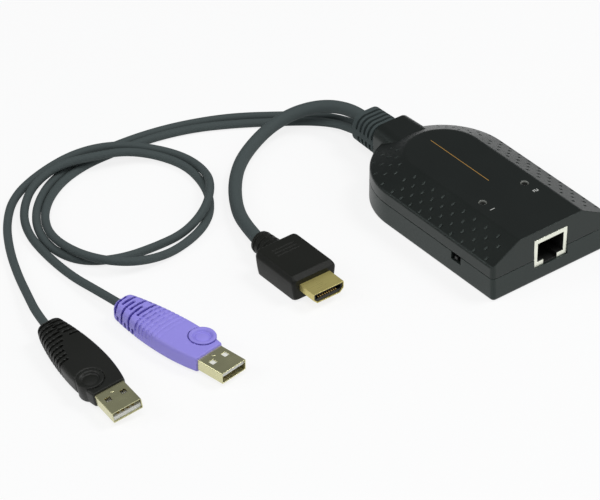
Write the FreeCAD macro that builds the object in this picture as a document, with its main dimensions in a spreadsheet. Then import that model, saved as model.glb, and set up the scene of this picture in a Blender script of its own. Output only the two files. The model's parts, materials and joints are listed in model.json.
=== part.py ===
import FreeCAD, Part
import math
import os
import Sketcher

# KVM dongle: a flat case with a network socket in its front face, and a ribbed boot at its
# back that an HDMI cable and two USB cables leave, each with its plug.
#
# Frame: X across the case, the front face with the socket towards -Y, the boot towards +Y,
# +Z up. The origin is the bottom centre of the case with its neck. Lengths are millimetres.

Vector = FreeCAD.Vector

DIMENSIONS = {
    # Case: two shells that meet at the part line. The front face leans out towards its foot, and
    # behind the straight sides the back is round. The straight length is that of the top.
    "case_half_width": 28.2,
    "case_length": 93.4,
    "straight_length": 60.5,
    "case_height": 21.4,
    "part_line": 9.8,
    "shoulder_height": 14.6,
    "panel_half_width": 15.2,
    "front_lean": 1.4,
    "front_round": 1.7,
    "case_wall": 1.8,
    "crest_round": 3.0,
    "shoulder_round": 1.4,
    "foot_round": 1.2,
    "seam_height": 0.3,
    "seam_depth": 0.5,
    # Grip dimples: rows down each slope, whose pitch grows towards the front face.
    "dimple_rows": 4,
    "dimples_per_row": 11,
    "dimple_first_row": 18.1,
    "dimple_row_pitch": 2.85,
    "dimple_pitch": 4.9,
    "dimple_growth": 1.036,
    "dimple_start": 5.5,
    "dimple_width": 1.0,
    "dimple_length": 1.5,
    "dimple_depth": 0.3,
    # Neck, where the boot leaves the case.
    "neck_half_width": 8.9,
    "neck_flare": 1.0,
    "neck_drop": 2.3,
    "neck_bottom": 1.2,
    "neck_round": 4.6,
    "neck_overlap": 12.0,
    "neck_lip": 3.0,
    # Boot: ribbed strain relief moulded round the three cables.
    "boot_axis": 9.6,
    "boot_half_width": 7.4,
    "boot_half_height": 6.6,
    "boot_round": 4.6,
    "boot_taper": 0.3,
    "boot_length": 15.0,
    "boot_flange": 0.7,
    "boot_flange_thickness": 2.0,
    "boot_tail": 2.5,
    "boot_slot_width": 1.1,
    "boot_slot_pitch": 2.35,
    "boot_slots": 5,
    "boot_slot_depth": 1.5,
    "boot_spine": 1.1,
    # Circuit board and the screws that clamp it between the bosses of the two shells.
    "board_top": 5.8,
    "board_thickness": 1.6,
    "board_gap": 0.4,
    "board_edge": 1.0,
    "board_set_back": 5.5,
    "screw_spread": 13.8,
    "screw_front": 9.0,
    "screw_rear": 68.0,
    "screw_radius": 1.1,
    "screw_head_radius": 2.1,
    "screw_head_height": 1.2,
    "screw_length": 13.0,
    "screw_recess": 0.4,
    "cross_reach": 1.25,
    "cross_width": 0.6,
    "cross_depth": 0.7,
    "boss_radius": 2.6,
    # Network socket.
    "socket_centre": -0.1,
    "socket_half_width": 7.95,
    "socket_headroom": 1.8,
    "socket_depth": 17.0,
    "socket_skin": 0.3,
    "socket_proud": 0.4,
    "port_half_width": 6.3,
    "port_bottom": 2.0,
    "port_frame": 1.75,
    "port_depth": 13.5,
    "latch_half_width": 3.3,
    "keyway_depth": 0.8,
    "wire_pitch": 1.02,
    "wire_width": 0.45,
    "wire_count": 8,
    "wire_front": 3.4,
    "wire_drop": 3.4,
    # Lamps: light pipes that hang in the panel over the board's lamps.
    "lamp_spread": 10.2,
    "lamp_set_back": 26.5,
    "lamp_radius": 1.65,
    "lamp_recess": 0.8,
    "lamp_collar": 1.0,
    "lamp_collar_depth": 2.2,
    "lamp_dome": 0.5,
    "led_height": 1.1,
    "led_length": 3.2,
    "led_width": 1.6,
    # Recovery switch behind the notch in the left side.
    "switch_set_back": 19.9,
    "notch_half_width": 2.7,
    "notch_bottom": 6.2,
    "switch_length": 6.6,
    "switch_width": 2.8,
    "switch_height": 3.4,
    "switch_slot": 2.9,
    "switch_travel": 1.2,
    "switch_slot_depth": 1.4,
    "knob_height": 1.3,
    "knob_reach": 1.3,
    # What the board carries, placed behind the front face and either side of the middle.
    "chip_height": 1.4,
    "chip_dot": 0.4,
    "chip_dot_inset": 1.0,
    "chip_dot_depth": 0.15,
    "chip_stand_off": 0.15,
    "chip_legs": 8,
    "leg_reach": 0.8,
    "leg_height": 0.6,
    "processor_x": -8.5,
    "processor_set_back": 40.5,
    "processor_size": 14.0,
    "video_chip_x": 9.5,
    "video_chip_set_back": 39.5,
    "video_chip_size": 12.0,
    "memory_set_back": 52.0,
    "memory_width": 6.0,
    "memory_length": 10.0,
    "transformer_x": 0.1,
    "transformer_set_back": 26.0,
    "transformer_width": 9.0,
    "transformer_length": 12.0,
    "transformer_height": 4.0,
    "crystal_set_back": 52.0,
    "crystal_length": 8.0,
    "crystal_half_width": 2.2,
    "crystal_round": 2.0,
    "crystal_height": 3.2,
    "inductor_set_back": 22.0,
    "inductor_size": 6.5,
    "inductor_height": 4.0,
    "inductor_base": 1.6,
    "inductor_pot_radius": 2.9,
    "can_radius": 2.5,
    "can_height": 5.4,
    "can_offset": 7.2,
    "can_pitch": 6.5,
    # Headers for the cables' cores, and the leads inside the case.
    "hdmi_header_x": -1.0,
    "hdmi_header_width": 10.0,
    "black_header_x": 7.2,
    "purple_header_x": -9.2,
    "usb_header_width": 5.0,
    "header_set_back": 64.5,
    "header_depth": 4.5,
    "header_height": 5.8,
    "header_wall": 0.8,
    "header_mouth": 0.6,
    "lead_straight": 5.5,
    "hdmi_core_radius": 2.0,
    "usb_core_radius": 1.2,
    # Clearances.
    "fit": 0.1,
    "running_gap": 0.05,
    # HDMI plug.
    "hdmi_cable_radius": 2.6,
    "hdmi_half_width": 10.0,
    "hdmi_top_half_width": 9.1,
    "hdmi_half_height": 5.4,
    "hdmi_chamfer_height": 2.2,
    "hdmi_body_length": 21.0,
    "hdmi_shoulder": 5.0,
    "hdmi_front_round": 1.6,
    "hdmi_bevel_length": 2.0,
    "hdmi_bevel_drop": 1.2,
    "hdmi_gland_radius": 4.75,
    "hdmi_gland_end_radius": 4.25,
    "hdmi_gland_length": 12.3,
    "hdmi_gland_ribs": 4,
    "hdmi_gland_groove": 0.7,
    "hdmi_shell_half_width": 6.95,
    "hdmi_shell_half_height": 2.225,
    "hdmi_shell_length": 8.2,
    "hdmi_shell_step": 1.7,
    "shell_wall": 0.3,
    "hdmi_slot_half_width": 5.9,
    "hdmi_slot_half_height": 0.95,
    "hdmi_slot_rise": 0.35,
    "hdmi_mouth": 0.4,
    "hdmi_groove": 0.5,
    "hdmi_groove_pitch": 1.7,
    "hdmi_groove_start": 12.9,
    "hdmi_groove_half_width": 5.6,
    "hdmi_grooves": 3,
    "hdmi_contact_width": 0.5,
    "hdmi_contact_pitch": 1.0,
    "hdmi_contact_length": 5.6,
    "hdmi_upper_contacts": 10,
    "hdmi_lower_contacts": 9,
    "contact_thickness": 0.15,
    # USB plugs, both from one mould.
    "usb_cable_radius": 1.65,
    "usb_grip_length": 45.0,
    "usb_grip_half_width": 8.2,
    "usb_grip_widest": 16.0,
    "usb_front_half_width": 6.5,
    "usb_end_half_width": 4.5,
    "usb_front_half_height": 3.1,
    "usb_end_half_height": 4.1,
    "usb_grip_round": 2.2,
    "usb_disc_radius": 5.15,
    "usb_disc_half_height": 3.5,
    "usb_disc_along": 7.8,
    "usb_disc_across": 4.45,
    "usb_dish_radius": 3.75,
    "usb_dish_depth": 0.35,
    "usb_slot_count": 9,
    "usb_slot_pitch": 2.0,
    "usb_slot_width": 0.9,
    "usb_slot_start": 1.5,
    "usb_slot_floor": 3.0,
    "usb_slot_overlap": 1.6,
    "usb_shell_half_width": 6.0,
    "usb_shell_half_height": 2.25,
    "usb_shell_length": 12.0,
    "usb_shell_round": 0.45,
    "usb_window": 2.3,
    "usb_window_along": 4.7,
    "usb_window_across": 3.1,
    "usb_tongue_inset": 0.6,
    "usb_contact_width": 1.0,
    "usb_contact_length": 7.4,
    "usb_contact_pitch": 2.0,
    "usb_contact_inset": 1.2,
    "usb_contacts": 4,
}

# Routes of the cables, from the boot's end face to each plug, chosen by hand. They lie on the
# table, which is z = 0, and lift a little where one lies over another.
LOW = 1.7
HDMI_ROUTE = [
    (-1.3, 61.7, 12.4), (-3.4, 74.5, 12.6), (-11, 84.7, 10), (-23.6, 90.3, 5.8),
    (-37.5, 88.2, 3.1), (-49.8, 79.7, 2.65), (-59.5, 68.4, 2.65), (-67.5, 55.7, 2.65),
    (-73.4, 43.2, 4.3), (-76.2, 30.7, 5.4),
]
BLACK_ROUTE = [
    (0.1, 61.7, 7.0), (0.1, 72.7, 3.8), (-5, 85.2, LOW), (-17.5, 96.2, LOW), (-32, 106.2, LOW),
    (-47, 113.4, LOW), (-63, 117.5, LOW), (-80, 118.9, LOW), (-97, 118.1, LOW), (-112.5, 113, LOW),
    (-126, 103.2, LOW), (-134.5, 90.7, LOW), (-137, 76.7, LOW), (-133.5, 63.2, LOW),
    (-121.5, 55.2, LOW), (-107, 52.5, LOW), (-93, 54.2, 2.2), (-80.5, 59.2, 5.8),
    (-69.5, 69.2, 5.8), (-62, 81.2, 3.0), (-61.9, 95.7, LOW), (-69, 106.7, 2.8),
    (-82.5, 112.9, 6.2), (-98, 117.5, 6.4), (-114, 119.3, 3.4), (-129, 113.7, LOW),
    (-141, 101.7, LOW), (-149.8, 87, LOW), (-156.6, 71.7, 1.9), (-162.2, 57.1, 3.2),
    (-166.9, 45.7, 4.6), (-168.25, 35.57, 5.2),
]
PURPLE_ROUTE = [
    (-3.8, 61.7, 7.0), (-4.1, 72.7, 3.8), (-9.5, 83.7, LOW), (-21, 92.7, LOW), (-35, 102.4, LOW),
    (-49, 109.3, LOW), (-64.5, 113.3, LOW), (-80, 114.7, LOW), (-95.5, 113.9, LOW),
    (-110, 109.2, LOW), (-122.3, 100, LOW), (-130.5, 88.2, LOW), (-133.8, 75.2, 4.0),
    (-132, 61.2, 5.8), (-121.8, 51, 5.6), (-107.5, 47, 2.0), (-93.5, 49, LOW), (-81, 55.3, LOW),
    (-72, 65.5, LOW), (-67.8, 78.2, LOW), (-66.7, 90.7, LOW), (-71.5, 102, 2.6),
    (-81.4, 108.4, 5.2), (-93, 111.6, 6.4), (-106.8, 114.9, 6.6), (-120.3, 113.7, 3.4),
    (-131.5, 103.9, LOW), (-138.3, 90.7, LOW), (-141.2, 74.7, LOW), (-141.5, 58.7, LOW),
    (-140.8, 44.2, 3.5), (-139.4, 31.05, 4.1),
]

# Where each plug lies: its place in plan and height, the heading of its mouth in plan, and how
# far it has rolled about its own length.
HDMI_PLACE = (-76.2, -2.6, 5.4, -90, 0)
BLACK_PLACE = (-172.8, -9.2, 5.2, -95.8, 10)
PURPLE_PLACE = (-132.4, -13.4, 4.1, -81, 180)

BEYOND = 1.0  # How far a cutting outline runs past what it cuts.
TANGENT_SHARE = 0.45  # Share of a cable's shorter run that an arc may take at each end.
LEG_SHARE = 0.5  # Width of a chip's leg as a share of the legs' pitch.
TOLERANCE = 1e-4  # Lengths that differ by less are the same.

doc = FreeCAD.newDocument("kvm_dongle")


# ---------------------------------------------------------------------------------------------
# Sizes: numbers that know the spreadsheet formula they come from
# ---------------------------------------------------------------------------------------------

class Size:
    """A number together with the spreadsheet formula that gives it."""

    def __init__(self, value, formula=None):
        self.value = float(value)
        self.formula = formula or f"({self.value!r})"

    def __add__(self, other):
        other = as_size(other)
        return Size(self.value + other.value, f"({self.formula} + {other.formula})")

    def __sub__(self, other):
        other = as_size(other)
        return Size(self.value - other.value, f"({self.formula} - {other.formula})")

    def __mul__(self, other):
        other = as_size(other)
        return Size(self.value * other.value, f"({self.formula} * {other.formula})")

    def __truediv__(self, other):
        other = as_size(other)
        return Size(self.value / other.value, f"({self.formula} / {other.formula})")

    def __neg__(self):
        return Size(-self.value, f"(0 - {self.formula})")

    def __radd__(self, other):
        return as_size(other) + self

    def __rsub__(self, other):
        return as_size(other) - self

    def __rmul__(self, other):
        return as_size(other) * self

    def root(self):
        """The square root."""
        return Size(math.sqrt(self.value), f"sqrt({self.formula})")


def as_size(thing):
    """A Size as it is, or a plain number as a Size."""
    return thing if isinstance(thing, Size) else Size(thing)


class Sheet:
    """The spreadsheet of driving dimensions, whose cells are read as attributes."""

    def __init__(self, name, dimensions):
        sheet = doc.addObject("Spreadsheet::Sheet", name)
        for row, (alias, value) in enumerate(dimensions.items(), start=1):
            sheet.set(f"A{row}", alias)
            sheet.set(f"B{row}", str(value))
            sheet.setAlias(f"B{row}", alias)
            setattr(self, alias, Size(value, f"{name}.{alias}"))
        doc.recompute()


D = Sheet("Dims", DIMENSIONS)

# Places that follow from the sizes.
TOE = -D.case_length / 2
FRONT = TOE + D.front_lean
SOCKET_FACE = FRONT - D.socket_proud
BACK = D.case_length / 2
ARCH_CENTRE = FRONT + D.straight_length
SLOPE_RUN = D.case_half_width - D.panel_half_width
SLOPE_RISE = D.case_height - D.shoulder_height
SLOPE_LENGTH = (SLOPE_RUN * SLOPE_RUN + SLOPE_RISE * SLOPE_RISE).root()
BOARD_BOTTOM = D.board_top - D.board_thickness
BOARD_SIDE = D.case_half_width - D.case_wall - D.board_gap
CEILING = D.case_height - D.case_wall
NECK_TOP = D.case_height - D.neck_drop
NECK_ROOT = ARCH_CENTRE + D.neck_overlap
SOCKET_HEIGHT = CEILING - D.socket_headroom - D.board_top
SOCKET_TOP = D.board_top + SOCKET_HEIGHT
PORT_HEIGHT = SOCKET_HEIGHT - D.port_bottom - D.port_frame
BOOT_END = BACK + D.boot_length
FLANGE_BACK = BACK - D.neck_lip
FLANGE_FRONT = FLANGE_BACK - D.boot_flange_thickness
BOOT_TAIL_END = FLANGE_FRONT - D.boot_tail
SWITCH_Y = FRONT + D.switch_set_back
SWITCH_FACE = -(D.case_half_width - D.case_wall - D.fit)
LAMP_Y = FRONT + D.lamp_set_back
KNOB_BOTTOM = D.board_top + D.switch_height - D.knob_height - D.knob_height
PROCESSOR_Y = FRONT + D.processor_set_back
VIDEO_CHIP_Y = FRONT + D.video_chip_set_back
MEMORY_X = BOARD_SIDE - D.board_edge - D.leg_reach - D.memory_width / 2
MEMORY_Y = FRONT + D.memory_set_back
TRANSFORMER_Y = FRONT + D.transformer_set_back
CRYSTAL_X = -(BOARD_SIDE - D.board_edge - D.crystal_length / 2)
CRYSTAL_Y = FRONT + D.crystal_set_back
INDUCTOR_X = BOARD_SIDE - D.board_edge - D.inductor_size / 2
INDUCTOR_Y = FRONT + D.inductor_set_back
HEADER_BACK = FRONT + D.header_set_back


# ---------------------------------------------------------------------------------------------
# Drawing helpers
# ---------------------------------------------------------------------------------------------

def bind(item, prop, size):
    """Ties a property of a document object to a size."""
    item.setExpression(prop, as_size(size).formula)


def new_body(label):
    """A PartDesign body whose label names its sub-part."""
    body = doc.addObject("PartDesign::Body", label)
    body.Label = label
    return body


def new_sketch(body, name, role, depth=0):
    """A sketch on one of the body's own origin planes, moved along that plane's normal."""
    item = body.newObject("Sketcher::SketchObject", name)
    plane = next(feature for feature in body.Origin.OriginFeatures if feature.Role == role)
    item.AttachmentSupport = [(plane, "")]
    item.MapMode = "FlatFace"
    bind(item, "AttachmentOffset.Base.z", depth)
    return item


class Arc:
    """How an outline runs on from a corner: along an arc that turns left or right."""

    def __init__(self, radius, left=True):
        self.radius = as_size(radius)
        self.left = left


def arc_between(start, end, arc):
    """The minor arc from start to end."""
    chord = end - start
    half = chord.Length / 2
    radius = max(arc.radius.value, half)
    side = Vector(-chord.y, chord.x, 0).normalize() * (1 if arc.left else -1)
    centre = (start + end) * 0.5 + side * math.sqrt(radius * radius - half * half)
    first, last = (start, end) if arc.left else (end, start)
    begin = math.atan2(first.y - centre.y, first.x - centre.x)
    finish = math.atan2(last.y - centre.y, last.x - centre.x)
    if finish <= begin:
        finish += 2 * math.pi
    circle = Part.Circle(centre, Vector(0, 0, 1), radius)
    return Part.ArcOfCircle(circle, begin, finish)


def hold_point(item, geometry, end, x, y):
    """Holds a point of the sketch at two sizes from its origin."""
    for kind, axis, size in (("DistanceX", -2, as_size(x)), ("DistanceY", -1, as_size(y))):
        if size.value == 0:
            item.addConstraint(Sketcher.Constraint("PointOnObject", geometry, end, axis))
            continue
        number = item.addConstraint(Sketcher.Constraint(kind, -1, 1, geometry, end, size.value))
        item.setExpression(f"Constraints[{number}]", size.formula)


def outline(item, corners):
    """Draws a closed outline. A corner is (x, y), or (x, y, Arc) where an arc leaves it."""
    first = item.GeometryCount
    ends = []
    for index, corner in enumerate(corners):
        following = corners[(index + 1) % len(corners)]
        start = Vector(as_size(corner[0]).value, as_size(corner[1]).value, 0)
        end = Vector(as_size(following[0]).value, as_size(following[1]).value, 0)
        arc = corner[2] if len(corner) > 2 else None
        if arc is None:
            item.addGeometry(Part.LineSegment(start, end), False)
            ends.append((1, 2))
            continue
        number = item.addGeometry(arc_between(start, end, arc), False)
        ends.append((1, 2) if arc.left else (2, 1))
        radius = item.addConstraint(Sketcher.Constraint("Radius", number, arc.radius.value))
        item.setExpression(f"Constraints[{radius}]", arc.radius.formula)
    for index, corner in enumerate(corners):
        here = first + index
        after = (index + 1) % len(corners)
        item.addConstraint(Sketcher.Constraint(
            "Coincident", here, ends[index][1], first + after, ends[after][0]))
        hold_point(item, here, ends[index][0], corner[0], corner[1])


def circle(item, x, y, radius):
    """Draws a circle."""
    radius = as_size(radius)
    centre = Vector(as_size(x).value, as_size(y).value, 0)
    number = item.addGeometry(Part.Circle(centre, Vector(0, 0, 1), radius.value), False)
    hold_point(item, number, 3, x, y)
    held = item.addConstraint(Sketcher.Constraint("Radius", number, radius.value))
    item.setExpression(f"Constraints[{held}]", radius.formula)


def box_corners(left, bottom, right, top):
    """Corners of a rectangle."""
    return [(left, bottom), (right, bottom), (right, top), (left, top)]


def rounded_corners(left, bottom, right, top, radius):
    """Corners of a rectangle with round corners."""
    left, bottom, right, top = as_size(left), as_size(bottom), as_size(right), as_size(top)
    turn = Arc(radius)
    return [
        (left + radius, bottom), (right - radius, bottom, turn),
        (right, bottom + radius), (right, top - radius, turn),
        (right - radius, top), (left + radius, top, turn),
        (left, top - radius), (left, bottom + radius, turn),
    ]


def arch_corners(half_width, front, centre):
    """Corners of a plan that is straight at the front and a half circle at the back."""
    quarter = Arc(half_width)
    return [
        (-half_width, front), (half_width, front), (half_width, centre, quarter),
        (0, centre + half_width, quarter), (-half_width, centre),
    ]


def grow(body, kind, name, drawing, length, both_ways=False, backwards=False):
    """Pads or pockets a sketch: kind is "Pad" or "Pocket"."""
    feature = body.newObject(f"PartDesign::{kind}", name)
    feature.Profile = drawing
    feature.Midplane = both_ways
    feature.Reversed = backwards
    bind(feature, "Length", length)
    return feature


def turn(body, kind, name, drawing, angle, axis="V_Axis", backwards=False):
    """Revolves or grooves a sketch about one of its own axes."""
    feature = body.newObject(f"PartDesign::{kind}", name)
    feature.Profile = drawing
    feature.ReferenceAxis = (drawing, [axis])
    feature.Reversed = backwards
    feature.Angle = angle
    return feature


def loft(body, name, sections):
    """Lofts straight through sketches."""
    feature = body.newObject("PartDesign::AdditiveLoft", name)
    feature.Profile = sections[0]
    feature.Sections = sections[1:]
    feature.Ruled = True
    return feature


def round_edges(body, name, radius, chosen):
    """Rounds each edge of the body so far that `chosen` accepts."""
    doc.recompute()
    tip = body.Tip
    names = [f"Edge{number}" for number, edge in enumerate(tip.Shape.Edges, start=1) if chosen(edge)]
    feature = body.newObject("PartDesign::Fillet", name)
    feature.Base = (tip, names)
    bind(feature, "Radius", radius)
    return feature


def edge_ends(edge):
    """The points at a tenth, the middle and nine tenths of an edge."""
    low, high = edge.ParameterRange
    return [edge.valueAt(low + share * (high - low)) for share in (0.1, 0.5, 0.9)]


def near(one, other):
    """Whether two lengths are the same in practice."""
    return abs(one - other) < TOLERANCE


def block(body, name, corners, base, height, cut=False):
    """Pads an outline in plan upwards from a height, or cuts it away upwards."""
    drawing = new_sketch(body, f"{name}_plan", "XY_Plane", base)
    outline(drawing, corners)
    return grow(body, "Pocket" if cut else "Pad", name, drawing, height, backwards=cut)


# ---------------------------------------------------------------------------------------------
# Case
# ---------------------------------------------------------------------------------------------

def upper_section(inset):
    """Half of the upper shell's section, from the part line up, for a skin that far in."""
    cosine = SLOPE_RUN / SLOPE_LENGTH
    sine = SLOPE_RISE / SLOPE_LENGTH
    wide = D.case_half_width - inset
    narrow = D.panel_half_width - inset * ((1 - cosine) / sine)
    shoulder = D.shoulder_height - inset * ((1 - sine) / cosine)
    top = D.case_height - inset
    return [(wide, D.part_line), (wide, shoulder), (narrow, top)]


def mirrored(half):
    """A half section and its mirror image, as one outline."""
    return [(-x, z) for x, z in reversed(half)] + half


def closed_half(half):
    """A half section closed along the middle plane."""
    return [(0, half[0][1])] + half + [(0, half[-1][1])]


def neck_section(body, name, y, half_width, bottom, top, radius, upper):
    """One section of the neck's upper or lower half."""
    drawing = new_sketch(body, name, "XZ_Plane", -y)
    rim = Arc(radius)
    if upper:
        corners = [
            (-half_width, bottom), (half_width, bottom), (half_width, top - radius, rim),
            (half_width - radius, top), (-(half_width - radius), top, rim),
            (-half_width, top - radius),
        ]
    else:
        corners = [
            (half_width, top), (-half_width, top), (-half_width, bottom + radius, rim),
            (-(half_width - radius), bottom), (half_width - radius, bottom, rim),
            (half_width, bottom + radius),
        ]
    outline(drawing, corners)
    return drawing


def add_neck(body, bottom, top, upper):
    """The half of the neck that belongs to one shell, flaring into the round back."""
    root = neck_section(body, "neck_root", NECK_ROOT, D.neck_half_width + D.neck_flare,
                        bottom, top, D.neck_round, upper)
    end = neck_section(body, "neck_end", BACK, D.neck_half_width, bottom, top, D.neck_round, upper)
    loft(body, "neck", [root, end])


def cut_boot_channel(body):
    """The channel through the neck: its lip, the seat of the boot's flange and the leads' way."""
    lip = new_sketch(body, "boot_lip_outline", "XZ_Plane", -BACK)
    outline(lip, boot_corners(D.fit))
    grow(body, "Pocket", "boot_lip", lip, D.neck_lip + D.fit, backwards=True)
    seat = new_sketch(body, "boot_seat_outline", "XZ_Plane", -FLANGE_BACK)
    outline(seat, boot_corners(D.boot_flange + D.fit))
    grow(body, "Pocket", "boot_seat", seat, FLANGE_BACK - NECK_ROOT, backwards=True)


def lean_front(body):
    """Cuts the front face, which leans out towards its foot and is round at both its corners."""
    side = D.case_half_width
    out = side + BEYOND
    rear = TOE + D.front_round
    corner = Arc(D.front_round, left=False)
    ahead = TOE - D.front_lean - BEYOND
    plan = new_sketch(body, "front_plan", "XY_Plane")
    outline(plan, [
        (-out, ahead), (out, ahead), (out, rear), (side, rear, corner),
        (side - D.front_round, TOE), (-(side - D.front_round), TOE, corner), (-side, rear),
        (-out, rear),
    ])
    face = grow(body, "Pocket", "front_face", plan, D.case_height)
    face.UseCustomVector = True
    face.AlongSketchNormal = True
    face.Direction = Vector(0, D.front_lean.value, D.case_height.value)
    bind(face, "Direction.y", D.front_lean)
    bind(face, "Direction.z", D.case_height)


def cut_socket_window(body):
    """The window in the front wall that the network socket shows through."""
    drawing = new_sketch(body, "socket_window_outline", "XZ_Plane", -TOE)
    half = D.socket_half_width + D.fit
    outline(drawing, box_corners(D.socket_centre - half, D.board_top - D.fit,
                                 D.socket_centre + half, SOCKET_TOP + D.fit))
    grow(body, "Pocket", "socket_window", drawing, D.front_lean + D.case_wall)


def screw_circles(body, name, radius, base):
    """A plan sketch with a circle at each of the four screws."""
    drawing = new_sketch(body, name, "XY_Plane", base)
    for side in (-1, 1):
        for along in (D.screw_front, D.screw_rear):
            circle(drawing, side * D.screw_spread, FRONT + along, radius)
    return drawing


def make_upper_case():
    """Upper shell: straight prism and round back of one section, hollow, with its bosses."""
    body = new_body("upper_shell")
    outer = upper_section(as_size(0))
    inner = upper_section(D.case_wall)
    section = new_sketch(body, "side_section", "XZ_Plane", -ARCH_CENTRE)
    outline(section, mirrored(outer))
    grow(body, "Pad", "straight_sides", section, D.straight_length + D.front_lean)
    back = new_sketch(body, "back_section", "XZ_Plane", -ARCH_CENTRE)
    outline(back, closed_half(outer))
    turn(body, "Revolution", "round_back", back, 180)
    round_edges(body, "crest", D.crest_round, is_crest)
    round_edges(body, "shoulder", D.shoulder_round, is_shoulder)
    lean_front(body)
    add_neck(body, D.part_line, NECK_TOP, upper=True)

    hollow = new_sketch(body, "hollow_section", "XZ_Plane", -ARCH_CENTRE)
    outline(hollow, mirrored(inner))
    grow(body, "Pocket", "hollow", hollow, D.straight_length - D.case_wall, backwards=True)
    hollow_back = new_sketch(body, "hollow_back_section", "XZ_Plane", -ARCH_CENTRE)
    outline(hollow_back, closed_half(inner))
    turn(body, "Groove", "hollow_back", hollow_back, 180)

    cut_boot_channel(body)
    cut_socket_window(body)

    collars = new_sketch(body, "lamp_collar_plan", "XY_Plane", CEILING - D.lamp_collar_depth)
    bosses = screw_circles(body, "boss_plan", D.boss_radius, D.board_top)
    wells = new_sketch(body, "lamp_hole_plan", "XY_Plane", CEILING - D.lamp_collar_depth)
    for side in (-1, 1):
        circle(collars, side * D.lamp_spread, LAMP_Y, D.lamp_radius + D.lamp_collar)
        circle(wells, side * D.lamp_spread, LAMP_Y, D.lamp_radius)
    grow(body, "Pad", "lamp_collars", collars, D.lamp_collar_depth)
    grow(body, "Pad", "bosses", bosses, CEILING - D.board_top)
    grow(body, "Pocket", "lamp_holes", wells, D.lamp_collar_depth + D.case_wall, backwards=True)
    pilots = screw_circles(body, "pilot_plan", D.screw_radius + D.running_gap, D.board_top)
    reach = D.screw_recess + D.screw_head_height + D.screw_length - D.board_top + D.fit
    grow(body, "Pocket", "pilot_holes", pilots, reach, backwards=True)

    dimples = doc.addObject("Part::Feature", "dimples")
    dimples.Shape = Part.Compound(dimple_cutters())
    shell = doc.addObject("Part::Cut", "upper_case")
    shell.Label = "upper_case"
    shell.Base = body
    shell.Tool = dimples
    return shell


def is_crest(edge):
    """The edge where the slope meets the flat panel."""
    points = edge_ends(edge)
    level = all(near(point.z, D.case_height.value) for point in points)
    return level and not all(near(point.y, TOE.value) for point in points)


def is_shoulder(edge):
    """The edge where the slope meets the upright side."""
    points = edge_ends(edge)
    level = all(near(point.z, D.shoulder_height.value) for point in points)
    return level and not all(near(point.y, TOE.value) for point in points)


def dimple_radius():
    """Radius of the round cutter that dents the skin by the dimple's width and depth."""
    half_width = D.dimple_width.value / 2
    depth = D.dimple_depth.value
    return (half_width ** 2 + depth ** 2) / (2 * depth)


def dimple_cutter(across, axis_y, heading):
    """The cutter of a dimple at a distance from an upright axis: a rod lying down the slope.

    `heading` is the direction in plan that the slope falls towards.
    """
    fall = SLOPE_RISE.value / SLOPE_LENGTH.value
    run = SLOPE_RUN.value / SLOPE_LENGTH.value
    down = Vector(heading.x * run, heading.y * run, -fall)
    out = Vector(heading.x * fall, heading.y * fall, run)
    height = D.shoulder_height.value
    height += (D.case_half_width.value - across) * SLOPE_RISE.value / SLOPE_RUN.value
    skin = Vector(heading.x * across, axis_y + heading.y * across, height)
    radius = dimple_radius()
    length = D.dimple_length.value
    start = skin + out * (radius - D.dimple_depth.value) - down * (length / 2)
    return Part.makeCylinder(radius, length, start, down)


def dimple_cutters():
    """Rows of dimples on both slopes, carried round the back up to the neck."""
    cutters = []
    growth = D.dimple_growth.value
    centre_y = ARCH_CENTRE.value
    for row in range(int(D.dimple_rows.value)):
        across = D.dimple_first_row.value + row * D.dimple_row_pitch.value
        shift = (row % 2) / 2
        for index in range(int(D.dimples_per_row.value)):
            steps = index + shift
            travel = D.dimple_pitch.value * (growth ** steps - 1) / (growth - 1)
            ahead = travel - D.dimple_start.value
            if ahead < 0:
                continue
            for side in (-1, 1):
                heading = Vector(side, 0, 0)
                cutters.append(dimple_cutter(across, centre_y - ahead, heading))
        for angle in back_turns(across, shift):
            for side in (-1, 1):
                heading = Vector(side * math.cos(angle), math.sin(angle), 0)
                cutters.append(dimple_cutter(across, centre_y, heading))
    return cutters


def back_turns(across, shift):
    """Angles of one row's dimples round the back, from the straight side to the neck."""
    pitch = D.dimple_pitch.value / D.dimple_first_row.value
    first = (D.dimple_start.value - shift * D.dimple_pitch.value) / D.dimple_first_row.value
    neck = D.neck_half_width.value + D.neck_flare.value + D.dimple_width.value
    limit = math.acos(neck / across)
    angles = []
    angle = first % pitch
    while angle < limit:
        if angle * across > D.dimple_width.value:
            angles.append(angle)
        angle += pitch
    return angles


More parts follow.
